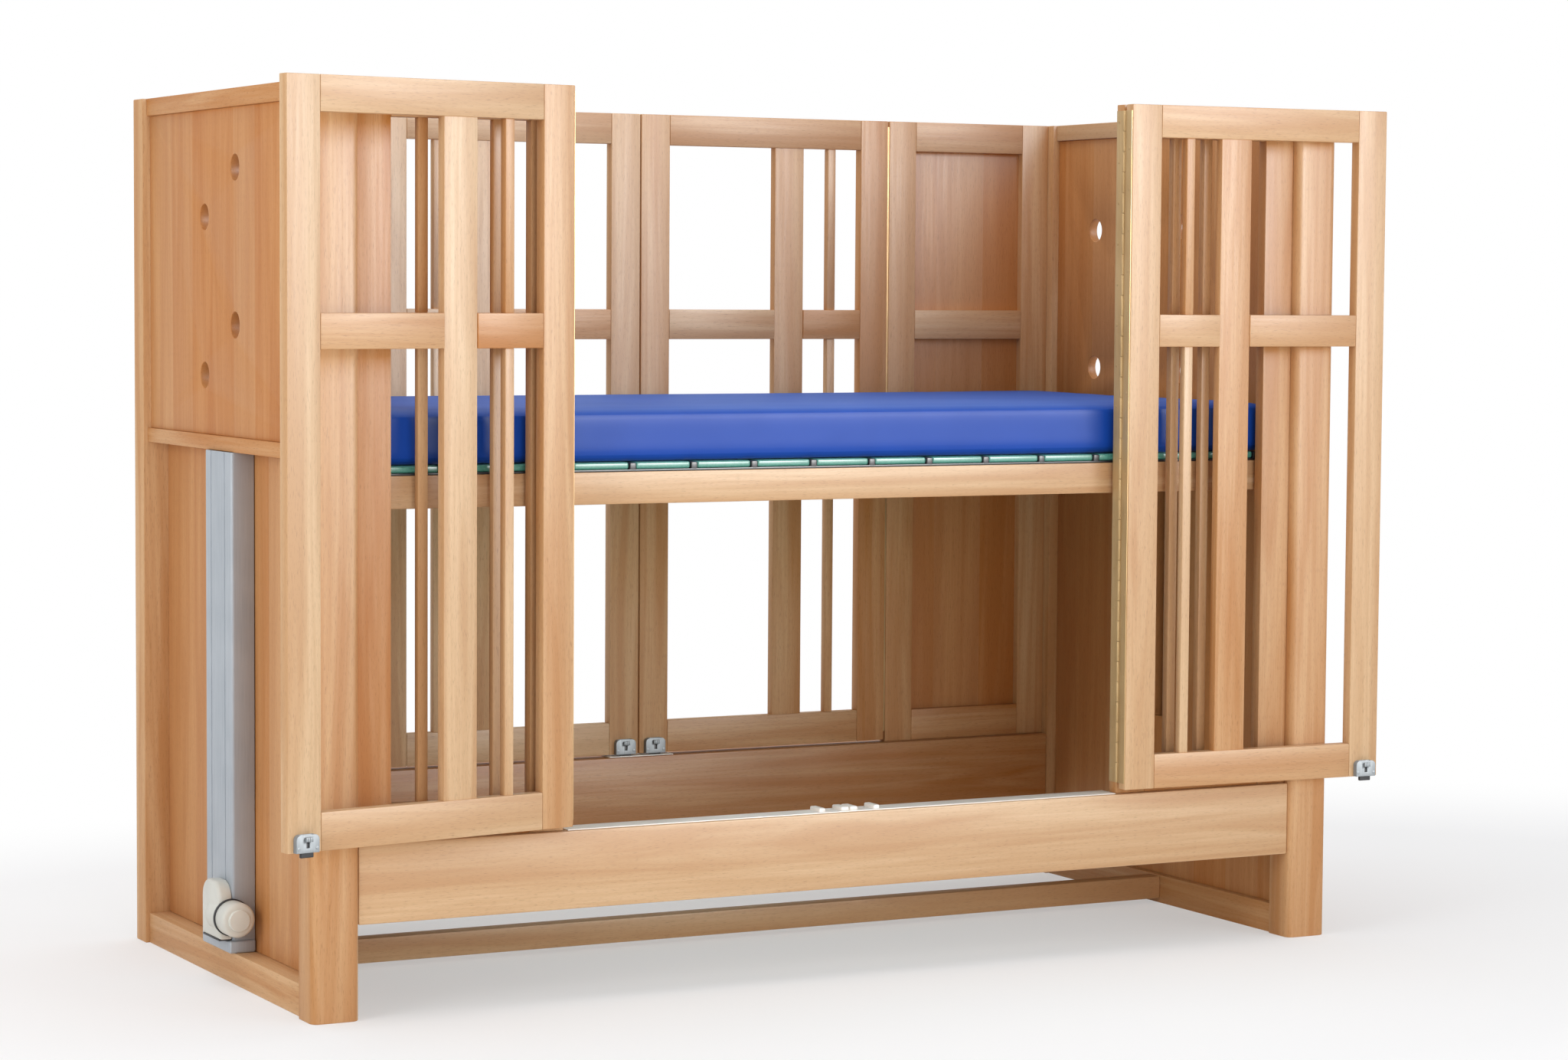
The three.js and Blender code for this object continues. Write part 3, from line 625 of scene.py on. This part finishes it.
for face in ("front", "rear"):
    for side in ("left", "right"):
        hinge_in = HINGE_HALF_GAP + STILE
        free_in = DOOR_END - STILE
        bar_at = hinge_in + DOOR_BAR_GAP
        slat_at = bar_at + BAR + DOOR_BAR_GAP
        door_low = DOOR_LOW[face]
        rows = ((door_low + BOTTOM_RAIL, MID_RAIL_LOW), (MID_RAIL_HIGH, DOOR_HIGH - TOP_RAIL))
        mid = (MID_RAIL_LOW, MID_RAIL_HIGH)
        full = (rows[0][0] - MM, rows[1][1] + MM)
        boards = [
            door_board(face, side, (HINGE_HALF_GAP, hinge_in - JOINT_GAP), (door_low, DOOR_HIGH), "z"),
            door_board(face, side, (free_in + JOINT_GAP, DOOR_END), (door_low, DOOR_HIGH), "z"),
            door_board(face, side, (hinge_in, free_in), (door_low, rows[0][0]), "x"),
            door_board(face, side, (hinge_in, free_in), (rows[1][1], DOOR_HIGH), "x"),
            door_board(face, side, (slat_at, slat_at + DOOR_SLAT), full, "z", SLAT_INSET),
            door_board(face, side, (hinge_in, slat_at), mid, "x"),
            door_board(face, side, (slat_at + DOOR_SLAT, free_in), mid, "x"),
        ]
        for row_low, row_high in rows:
            ends = (row_low - MM, row_high + MM)
            boards.append(door_board(face, side, (bar_at, bar_at + BAR), ends, "z", BAR_INSET, BAR_ROUND))
        door = joined(boards)
        door.data.transform(door_place(face, side))
        node = f"{face}_{side}_door_frame"
        fit(door, f"{node}_beech", f"{face}_{side}_door", BEECH, "beech", node)

# Piano hinges. Two thin brass-plated strips, rolled in turn round one pin and screwed to the leaves' edges.
# The door's strip and its knuckles swing with the door, and the other strip keeps the pin.
KNUCKLE_PITCH = 40 * MM
KNUCKLE_GAP = 0.6 * MM
KNUCKLE_ARRIS = 0.5 * MM
BARREL_RADIUS = 3.6 * MM
PLATE_THICK = 1.4 * MM
PLATE_ARRIS = 0.4 * MM
PLATE_FROM, PLATE_TO = 3.4 * MM, 27.9 * MM
SCREW_PITCH = 80 * MM
SCREW_RADIUS = 3.2 * MM
SCREW_SUNK, SCREW_PROUD = 0.8 * MM, 0.35 * MM
SCREW_RIM = 0.4 * MM
HINGE_CLEAR = 0.3 * MM
# fine lines to the metre, along and across the rolling, and patches to the metre
LINES_ALONG, LINES_ACROSS = 12, 1200
PATCHES = 9


def plated_metal(name, colour, shade, roughness, along, metallic=1.0):
    """Plated or drawn metal: fine lines along one direction, left by rolling, under a thin bright coat.

    Real lines are about 0.05 mm apart, and are drawn 0.8 mm apart so that they show. Metallic tells how far
    the bare metal shows through its coat.
    """
    material, tree, output = new_material(name)
    place = object_place(tree)
    stretch = [LINES_ALONG if axis == along else LINES_ACROSS for axis in "xyz"]
    lines = noise(tree, scaled(tree, place, stretch), 2)
    patches = noise(tree, place, 3, PATCHES)
    wear = spread(tree, calculated(tree, "MULTIPLY", lines, patches), 0.12, 0.42)
    coat(tree, output, {
        "Base Color": blend(tree, wear, tint(colour), tint(shade)),
        "Roughness": spread(tree, lines, 0, 1, roughness - 0.08, roughness + 0.12),
        "Normal": relief(tree, lines, 0.06, 0.2 * MM),
        "Metallic": metallic,
    })
    return material


BRASS = plated_metal("brass_plated_steel", "#C9AC7C", "#B39465", 0.5, "z", 0.4)


def copied(piece, shift):
    """A copy of a piece with its own mesh, moved by a shift."""
    twin = piece.copy()
    twin.data = piece.data.copy()
    twin.data.transform(Matrix.Translation(shift))
    bpy.context.collection.objects.link(twin)
    return twin


def screw_head(place, axis, outward, proud):
    """A countersunk screw head: a low disc with a rounded rim, standing a little proud of a face."""
    place = Vector(place)
    direction = Vector([outward if letter == axis else 0 for letter in "xyz"])
    head = peg(SCREW_RADIUS, place - direction * SCREW_SUNK, place + direction * proud, axis, sides=14)
    soften(head, SCREW_RIM)
    return head


def hinge_strip(face, side, first, plate_out, facing):
    """One strip of a piano hinge: its plate, every other knuckle, and its screws.

    First is its lowest knuckle, and facing is the side on which its screw heads show. The screws of the two
    strips are staggered, so that their heads miss each other when the door is shut.
    """
    low_z, high_z = (corner.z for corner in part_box(f"{face}_{side}_hinge_fixed_leaf"))
    count = round((high_z - low_z) / KNUCKLE_PITCH)
    pitch = (high_z - low_z) / count
    plate = cube(*corners(face, side, plate_out, (PLATE_FROM, PLATE_TO), (low_z, high_z)))
    soften(plate, PLATE_ARRIS)
    knuckle_low = low_z + KNUCKLE_GAP / 2
    knuckle_high = knuckle_low + pitch - KNUCKLE_GAP
    knuckle = peg(BARREL_RADIUS, (0, 0, knuckle_low), (0, 0, knuckle_high), "z", sides=16)
    soften(knuckle, KNUCKLE_ARRIS)
    strips = [plate] + [copied(knuckle, (0, 0, index * pitch)) for index in range(first, count, 2)]
    bpy.data.objects.remove(knuckle)
    sign = SIDE_SIGN[side]
    middle = FACE_SIGN[face] * (PLATE_FROM + PLATE_TO + 2 * BARREL_RADIUS) / 2
    plate_face = max(plate_out) if facing > 0 else min(plate_out)
    first_screw = low_z + SCREW_PITCH * (1 + first) / 3
    head = screw_head((sign * plate_face, middle, first_screw), "x", sign * facing, SCREW_PROUD)
    screws = int((high_z - first_screw) / SCREW_PITCH) + 1
    strips += [copied(head, (0, 0, index * SCREW_PITCH)) for index in range(screws)]
    bpy.data.objects.remove(head)
    return joined(strips)


for face in ("front", "rear"):
    for side in ("left", "right"):
        edge = HINGE_HALF_GAP - HINGE_CLEAR
        fixed = hinge_strip(face, side, 0, (-edge, PLATE_THICK - edge), 1)
        axis = axis_at[f"{face}_{side}_door_swing"]
        fixed.data.transform(Matrix.Translation((axis.x, axis.y, 0)))
        node = f"{face}_{side}_hinge_fixed_leaf"
        fit(fixed, f"{node}_brass", "frame", BRASS, "hinge_metal", node)
        moving = hinge_strip(face, side, 1, (edge - PLATE_THICK, edge), -1)
        moving.data.transform(door_place(face, side))
        node = f"{face}_{side}_hinge_door_leaf"
        fit(moving, f"{node}_brass", f"{face}_{side}_door", BRASS, "hinge_metal", node)

# Door bolts. A small zinc housing screwed to the inside of each free stile, at the bottom corner.
# A flat black bolt slides down out of it, pushed by a ribbed thumb piece in the slot of its face.
LATCH_HALF, LATCH_HEIGHT, LATCH_DEPTH = 23 * MM, 32 * MM, 12 * MM
LATCH_RAISE = 1 * MM
LATCH_CORNER = 9 * MM
LATCH_ARRIS = 0.9 * MM
LATCH_SCREW_OUT, LATCH_SCREW_UP, LATCH_SCREW_PROUD = 18.5 * MM, 8 * MM, 0.5 * MM
LATCH_GAP = 0.3 * MM
LATCH_BACK = LEAF_OFFSET + LEAF_THICK + LATCH_GAP
LATCH_FRONT = LATCH_BACK + LATCH_DEPTH
BOLT_OUT = DOOR_END - STILE / 2
BOLT_INSET = 2 * MM
BOLT_BACK = LATCH_BACK + BOLT_INSET
BOLT_RUN = 0.3 * MM
BOLT_ROUND = 1.6 * MM
THUMB_RAISE = 24 * MM
THUMB_HALF, THUMB_HEIGHT, THUMB_DEPTH = 7 * MM, 8 * MM, 6 * MM
THUMB_ARRIS = 0.6 * MM
RIB_PITCH, RIB_HALF, RIB_DEPTH = 4 * MM, 0.7 * MM, 1.2 * MM
NECK_HALF, NECK_HEIGHT = 2.4 * MM, 6 * MM
NECK_ARRIS = 0.5 * MM
THUMB_RUN = 0.7 * MM
BOLT_TRAVEL = 12 * MM
ZINC = plated_metal("zinc_die_casting", "#8F9497", "#7E8487", 0.6, "z", 0.25)
BLACK_PLASTIC = moulded_plastic("black_polyamide", "#1B1B1D", "#242427", 0.46)


def latch_box(face, side, out_half, back, up):
    """A box centred on the bolt of a door that is drawn shut."""
    return cube(*corners(face, side, (BOLT_OUT - out_half, BOLT_OUT + out_half), back, up))


for face in ("front", "rear"):
    for side in ("left", "right"):
        latch_low = DOOR_LOW[face] + LATCH_RAISE
        latch_high = latch_low + LATCH_HEIGHT
        thumb_z = latch_low + THUMB_RAISE
        housing = latch_box(face, side, LATCH_HALF, (LATCH_BACK, LATCH_FRONT), (latch_low, latch_high))
        round_edges(housing, lambda a, b: abs(a.y - b.y) > 5 * MM and a.z > latch_high - MM, LATCH_CORNER)
        bore = (BOLT_BACK, BOLT_BACK + BOLT_THICK + 2 * BOLT_RUN)
        through = (latch_low - MM, latch_high + MM)
        cut_away(housing, latch_box(face, side, BOLT_WIDTH / 2 + BOLT_RUN, bore, through))
        slot_low = thumb_z - NECK_HEIGHT / 2 - BOLT_TRAVEL - THUMB_RUN
        slot_high = thumb_z + NECK_HEIGHT / 2 + THUMB_RUN
        slot_back = (BOLT_BACK + BOLT_THICK / 2, LATCH_FRONT + MM)
        cut_away(housing, latch_box(face, side, NECK_HALF + THUMB_RUN, slot_back, (slot_low, slot_high)))
        soften(housing, LATCH_ARRIS, segments=3)
        heads = []
        for out in (-LATCH_SCREW_OUT, LATCH_SCREW_OUT):
            screw_x = SIDE_SIGN[side] * (BOLT_OUT + out)
            place = (screw_x, FACE_SIGN[face] * LATCH_FRONT, latch_low + LATCH_SCREW_UP)
            heads.append(screw_head(place, "y", FACE_SIGN[face], LATCH_SCREW_PROUD))
        housing = joined([housing] + heads)
        housing.data.transform(door_place(face, side))
        node = f"{face}_{side}_latch_housing"
        fit(housing, f"{node}_zinc", f"{face}_{side}_door", ZINC, "latch_zinc", node)

        node = f"{face}_{side}_latch_bolt"
        low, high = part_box(node)
        rod_back = (BOLT_BACK + BOLT_RUN, BOLT_BACK + BOLT_RUN + BOLT_THICK)
        rod = latch_box(face, side, BOLT_WIDTH / 2, rod_back, (low.z, high.z))
        soften(rod, BOLT_ROUND, segments=3)
        rod.data.transform(door_place(face, side))
        fit(rod, f"{node}_black", f"{face}_{side}_bolt", BLACK_PLASTIC, "black_plastic", node)
        neck_up = (thumb_z - NECK_HEIGHT / 2, thumb_z + NECK_HEIGHT / 2)
        neck = latch_box(face, side, NECK_HALF, slot_back, neck_up)
        soften(neck, NECK_ARRIS)
        thumb_back = (LATCH_FRONT + THUMB_RUN, LATCH_FRONT + THUMB_RUN + THUMB_DEPTH)
        thumb_up = (thumb_z - THUMB_HEIGHT / 2, thumb_z + THUMB_HEIGHT / 2)
        thumb = latch_box(face, side, THUMB_HALF, thumb_back, thumb_up)
        for rib in (-RIB_PITCH, 0, RIB_PITCH):
            groove_out = (BOLT_OUT + rib - RIB_HALF, BOLT_OUT + rib + RIB_HALF)
            groove_back = (thumb_back[1] - RIB_DEPTH, thumb_back[1] + MM)
            groove_up = (thumb_up[0] - MM, thumb_up[1] + MM)
            cut_away(thumb, cube(*corners(face, side, groove_out, groove_back, groove_up)))
        soften(thumb, THUMB_ARRIS)
        thumb = joined([neck, thumb])
        thumb.data.transform(door_place(face, side))
        fit(thumb, f"{node}_thumb", f"{face}_{side}_bolt", ZINC, "latch_zinc")

# Lift columns. Satin anodised aluminium channels, which stand in the recess of each end on a cast foot.
# Their outer face has shallow grooves, and a steel drive screw turns inside behind the lower panel.
COLUMN_ROUND = 7 * MM
COLUMN_ARRIS = 0.6 * MM
CURVE_ANGLE = 40
GROOVE_WIDTH = 5 * MM
GROOVE_DEPTH = 1.6 * MM
GROOVE_SHIFT = 0.26
FOOT_HEIGHT = 24 * MM
FOOT_STEP = 6 * MM
FOOT_ROUND = 4 * MM
WALL = 4 * MM
MOUTH = 66 * MM
ANODISED = plated_metal("satin_anodised_aluminium", "#B4BAC0", "#A3AAB1", 0.5, "z", 0.35)
SCREW_STEEL = plated_metal("rolled_screw_steel", "#8E9297", "#74787D", 0.36, "x")

for side in ("left", "right"):
    node = f"{side}_lift_column"
    low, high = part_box(node)
    sign = SIDE_SIGN[side]
    outer_x = (low.x if sign > 0 else high.x) + sign * FOOT_STEP
    inner_x = high.x if sign > 0 else low.x
    y_low, y_high = low.y + FOOT_STEP, high.y - FOOT_STEP
    middle_y = (y_low + y_high) / 2
    xs = sorted((outer_x, inner_x))
    shell = cube((xs[0], y_low, low.z), (xs[1], y_high, high.z))
    round_edges(shell, lambda a, b: abs(a.z - b.z) > 0.5 and abs(a.x - outer_x) < MM, COLUMN_ROUND)
    below, over = low.z - MM, high.z + MM
    hollow_x = sorted((outer_x + sign * WALL, inner_x - sign * WALL))
    cut_away(shell, cube((hollow_x[0], y_low + WALL, below), (hollow_x[1], y_high - WALL, over)))
    mouth_x = sorted((inner_x - sign * 2 * WALL, inner_x + sign * MM))
    mouth_y = (middle_y - MOUTH / 2, middle_y + MOUTH / 2)
    cut_away(shell, cube((mouth_x[0], mouth_y[0], below), (mouth_x[1], mouth_y[1], over)))
    for shift in (-GROOVE_SHIFT, GROOVE_SHIFT):
        groove_y = middle_y + shift * (y_high - y_low)
        groove_x = sorted((outer_x - sign * MM, outer_x + sign * GROOVE_DEPTH))
        groove_low = (groove_x[0], groove_y - GROOVE_WIDTH / 2, below)
        cut_away(shell, cube(groove_low, (groove_x[1], groove_y + GROOVE_WIDTH / 2, over)))
    soften(shell, COLUMN_ARRIS, angle=CURVE_ANGLE)
    foot_x = sorted((outer_x - sign * FOOT_STEP, inner_x))
    foot = cube((foot_x[0], low.y, low.z), (foot_x[1], high.y, low.z + FOOT_HEIGHT))
    soften(foot, FOOT_ROUND, segments=4)
    fit(joined([shell, foot]), f"{node}_anodised", "frame", ANODISED, "anodised_aluminium", node)
    for name, metal in (("lift_spindle", SCREW_STEEL), ("lift_carriage", ANODISED)):
        slots = frame["nodes"][f"{side}_{name}"].data.materials
        slots.clear()
        slots.append(metal)

# Lift motors. A moulded ivory gearbox on the outside of each column, and a round motor can round its corner.
# The can ends in a stepped cap. Black plates fill the gaps under the gearbox and behind the can, as painted
# shade for those dark gaps.
GEARBOX_DEPTH, GEARBOX_WIDTH = 26 * MM, 96 * MM
GEARBOX_ROUND, GEARBOX_EDGE = 34 * MM, 8 * MM
GEARBOX_ARRIS = 1.5 * MM
CAN_RADIUS = 33 * MM
CAN_ROUND, CAN_ARRIS = 9 * MM, 0.8 * MM
CAN_SIDES = 56
CAN_RAISE = 42 * MM
CAN_INSET = 2 * MM
CAP_RADIUS = 21 * MM
CAP_ROUND = 2.5 * MM
CAP_STEP = 5 * MM
# the black plate of painted shade under the gearbox: its thickness, inset and arris
SHADE_PLATE_THICK = 2.6 * MM
SHADE_PLATE_INSET, SHADE_PIECE_ARRIS = 2 * MM, 0.6 * MM
MOUNT_GAP = 0.3 * MM
# the black ring of painted shade behind the can: its depth and how far it stands out round the can
SHADE_RING_DEPTH, SHADE_RING_PROUD = 7.5 * MM, 2.2 * MM
IVORY = moulded_plastic("ivory_abs", "#DCDCD3", "#CFCFC6", 0.44)

for side in ("left", "right"):
    node = f"{side}_lift_motor"
    low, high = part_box(node)
    sign = SIDE_SIGN[side]
    column_low, column_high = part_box(f"{side}_lift_column")
    column_face = (column_low.x if sign > 0 else column_high.x) + sign * FOOT_STEP
    column_front = column_low.y + FOOT_STEP
    seat = column_face - sign * MOUNT_GAP
    outer_x = seat - sign * GEARBOX_DEPTH
    box_x = sorted((outer_x, seat))
    gearbox = cube((box_x[0], column_front, low.z), (box_x[1], column_front + GEARBOX_WIDTH, high.z))
    round_edges(
        gearbox, lambda a, b: abs(a.x - b.x) > 10 * MM and a.z > high.z - MM, GEARBOX_ROUND, segments=8)
    round_edges(gearbox, lambda a, b: abs(a.x - outer_x) < MM and abs(b.x - outer_x) < MM, GEARBOX_EDGE)
    soften(gearbox, GEARBOX_ARRIS, angle=CURVE_ANGLE)
    can_x = column_face - sign * CAN_INSET
    can_z = low.z + CAN_RAISE
    front_y = column_front - MOUNT_GAP
    can_end = low.y + CAP_STEP
    can = peg(CAN_RADIUS, (can_x, can_end, can_z), (can_x, front_y, can_z), "y", CAN_SIDES)
    round_edges(can, lambda a, b: max(a.y, b.y) < can_end + MM, CAN_ROUND, segments=6)
    soften(can, CAN_ARRIS, angle=CURVE_ANGLE)
    cap = peg(CAP_RADIUS, (can_x, low.y, can_z), (can_x, low.y + 3 * CAP_STEP, can_z), "y", sides=40)
    soften(cap, CAP_ROUND, segments=4)
    tail_end = column_front + GEARBOX_WIDTH / 2
    tail = peg(CAN_RADIUS, (can_x, front_y - MM, can_z), (can_x, tail_end, can_z), "y", CAN_SIDES)
    clear_x = sorted((seat, can_x + sign * 2 * CAN_RADIUS))
    clear_low = (clear_x[0], front_y, can_z - 2 * CAN_RADIUS)
    clear_high = (clear_x[1], tail_end + CAN_RADIUS, can_z + 2 * CAN_RADIUS)
    cut_away(tail, cube(clear_low, clear_high))
    soften(tail, GEARBOX_ARRIS, angle=CURVE_ANGLE)
    fit(joined([gearbox, can, cap, tail]), f"{node}_ivory", "frame", IVORY, "motor_plastic", node)
    # A black ring behind the can and a black plate under the gearbox, painted shade in the dark gaps at those
    # joints.
    shade_ring_front, shade_ring_back = front_y - SHADE_RING_DEPTH, front_y - MOUNT_GAP
    shade_ring_radius = CAN_RADIUS + SHADE_RING_PROUD
    shade_ring = peg(shade_ring_radius, (can_x, shade_ring_front, can_z), (can_x, shade_ring_back, can_z), "y", CAN_SIDES)
    soften(shade_ring, SHADE_PIECE_ARRIS)
    shade_plate_low = (box_x[0] + SHADE_PLATE_INSET, column_front + SHADE_PLATE_INSET, low.z - SHADE_PLATE_THICK)
    shade_plate_high = (box_x[1], column_front + GEARBOX_WIDTH - SHADE_PLATE_INSET, low.z + MM)
    shade_plate = cube(shade_plate_low, shade_plate_high)
    soften(shade_plate, SHADE_PIECE_ARRIS)
    fit(joined([shade_ring, shade_plate]), f"{node}_gap_shade_pieces", "frame", BLACK_PLASTIC, "black_plastic")

# Platform. Two beech side rails carry black slat holders, with a clip at each gap between the slats.
# The slats are broad satin green strips with rounded edges, held at both ends by the clips.
PLATFORM_ARRIS = 2.5 * MM
SLAT_PITCH = 127 * MM
SLAT_EDGE = 4.5 * MM
CLIP_WIDTH = 13.4 * MM
CLIP_CLEAR = 0.4 * MM
CLIP_ROUND = 2.2 * MM
HOLDER_BASE = 3.7 * MM
HOLDER_ARRIS = 0.8 * MM
TAPE_HALF = 15 * MM
TAPE_OFFSET = 200 * MM
TAPE_LOW, TAPE_HIGH = 0.2 * MM, 2 * MM
TAPE_ARRIS = 0.5 * MM
# fibre lines to the metre, which run along the slats
FIBRES = (420, 9, 420)

for face in ("front", "rear"):
    node = f"platform_{face}_rail"
    low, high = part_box(node)
    fit(board(low, high, "x", PLATFORM_ARRIS), f"{node}_beech", "platform", BEECH, "beech", node)

deck_low, deck_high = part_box("slat_deck")
slat_count = round((deck_high.x - deck_low.x + CLIP_WIDTH + 2 * CLIP_CLEAR) / SLAT_PITCH)
first_gap = deck_low.x - CLIP_WIDTH / 2 - CLIP_CLEAR

for face in ("front", "rear"):
    node = f"{face}_slat_holder"
    low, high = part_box(node)
    base = cube(low, (high.x, high.y, low.z + HOLDER_BASE))
    soften(base, HOLDER_ARRIS)
    parts = [base]
    for index in range(slat_count + 1):
        at = first_gap + index * SLAT_PITCH
        clip = cube((at - CLIP_WIDTH / 2, low.y, low.z + MM), (at + CLIP_WIDTH / 2, high.y, high.z))
        soften(clip, CLIP_ROUND, segments=3)
        parts.append(clip)
    fit(joined(parts), f"{node}_black", "platform", BLACK_PLASTIC, "black_plastic", node)


def satin_laminate(name, colour, shade):
    """Resin-faced bent laminate: a satin dyed face with faint fibre lines, 2.4 mm apart, along the slat."""
    material, tree, output = new_material(name)
    fibre = noise(tree, scaled(tree, object_place(tree), FIBRES), 3)
    coat(tree, output, {
        "Base Color": blend(tree, spread(tree, fibre, 0.35, 0.7), tint(colour), tint(shade)),
        "Roughness": 0.42,
        "Normal": relief(tree, fibre, 0.08, 0.3 * MM),
        "IOR": 1.5,
    })
    return material


GREEN_SLAT = satin_laminate("green_slat_laminate", "#5AA08E", "#498C7B")
slat_parts = []
for index in range(slat_count):
    start = deck_low.x + index * SLAT_PITCH
    slat_end = start + SLAT_PITCH - CLIP_WIDTH - 2 * CLIP_CLEAR
    slat = cube((start, deck_low.y, deck_low.z), (slat_end, deck_high.y, deck_high.z))
    soften(slat, SLAT_EDGE, segments=4)
    slat_parts.append(slat)
middle_y = (deck_low.y + deck_high.y) / 2
for shift in (-TAPE_OFFSET, TAPE_OFFSET):
    tape_low = (deck_low.x + SLAT_PITCH / 2, middle_y + shift - TAPE_HALF, deck_low.z + TAPE_LOW)
    tape_high = (deck_high.x - SLAT_PITCH / 2, middle_y + shift + TAPE_HALF, deck_low.z + TAPE_HIGH)
    tape = cube(tape_low, tape_high)
    soften(tape, TAPE_ARRIS)
    slat_parts.append(tape)
fit(joined(slat_parts), "slat_deck_green", "platform", GREEN_SLAT, "green_slat", "slat_deck")

# Mattress. A firm foam block in a royal blue coated stretch cover, welded along its edges.
# The cover is blown up a little over the foam in a cloth simulation, so that its faces crown.
MATTRESS_SHRINK = 5 * MM
MATTRESS_REST = 2 * MM
MATTRESS_EDGE = 13 * MM
MATTRESS_VOXEL = 14 * MM
MATTRESS_CAP = 6 * MM
MATTRESS_CLEAR, MATTRESS_CROWN = 0.4 * MM, 0.5 * MM
COVER_PRESSURE = 4
SETTLE_FRAMES = 16
# the cover's clouds of colour, folds and leathery grain to the metre
CLOUDS, FOLDS, PEBBLES = 5, 11, 650


def coated_cover(name, colour, shade):
    """Polyurethane-coated knit: a smooth wipe-clean face with a soft sheen and a faint leathery grain.

    The real grain is about 0.4 mm, and is drawn 1.5 mm wide so that it shows.
    """
    material, tree, output = new_material(name)
    place = object_place(tree)
    clouds = noise(tree, place, 3, CLOUDS)
    folds = noise(tree, place, 2, FOLDS)
    cells = {"Vector": place, "Scale": PEBBLES}
    pebbles = add_node(tree, "ShaderNodeTexVoronoi", cells, feature="SMOOTH_F1").outputs[0]
    grained = relief(tree, pebbles, 0.1, 0.4 * MM)
    coat(tree, output, {
        "Base Color": blend(tree, spread(tree, clouds, 0.35, 0.65), tint(colour), tint(shade)),
        "Roughness": spread(tree, clouds, 0, 1, 0.5, 0.62),
        "Normal": relief(tree, folds, 0.14, 4 * MM, {"Normal": grained}),
        "IOR": 1.45,
        "Specular IOR Level": 0.18,
        "Sheen Weight": 0.3,
        "Sheen Roughness": 0.45,
        "Sheen Tint": tint("#8FBEFF"),
    })
    return material


BLUE_COVER = coated_cover("blue_coated_cover", "#1249AE", "#1045A7")
low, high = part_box("mattress")
inset = Vector((MATTRESS_SHRINK, MATTRESS_SHRINK, MATTRESS_SHRINK))
mattress = cube(low + Vector((MATTRESS_SHRINK, MATTRESS_SHRINK, MATTRESS_REST)), high - inset)
soften(mattress, MATTRESS_EDGE, segments=4)
only(mattress)
remesh = mattress.modifiers.new("cover_mesh", "REMESH")
remesh.mode = "VOXEL"
remesh.voxel_size = MATTRESS_VOXEL
bpy.ops.object.modifier_apply(modifier=remesh.name)
start_places = [vertex.co.copy() for vertex in mattress.data.vertices]
cloth = mattress.modifiers.new("cover", "CLOTH")
cloth.settings.quality = 4
cloth.settings.mass = 0.3
cloth.settings.tension_stiffness = 40
cloth.settings.compression_stiffness = 40
cloth.settings.bending_stiffness = 4
cloth.settings.use_pressure = True
cloth.settings.uniform_pressure_force = COVER_PRESSURE
cloth.settings.effector_weights.gravity = 0
cloth.point_cache.frame_end = SETTLE_FRAMES
for frame_number in range(1, SETTLE_FRAMES + 1):
    bpy.context.scene.frame_set(frame_number)
only(mattress)
bpy.ops.object.modifier_apply(modifier=cloth.name)
bpy.context.scene.frame_set(1)
for vertex, start in zip(mattress.data.vertices, start_places):
    step = vertex.co - start
    if step.length > MATTRESS_CAP:
        step = step.normalized() * MATTRESS_CAP
    settled = start + step
    vertex.co = [min(max(settled[i], low[i] + MATTRESS_CLEAR), high[i] + MATTRESS_CROWN) for i in range(3)]
smooth = mattress.modifiers.new("cover_smooth", "SUBSURF")
smooth.levels = 1
smooth.render_levels = 1
fit(mattress, "mattress_cover", "platform", BLUE_COVER, "mattress_cover", "mattress")
only(mattress)
bpy.ops.object.shade_smooth()
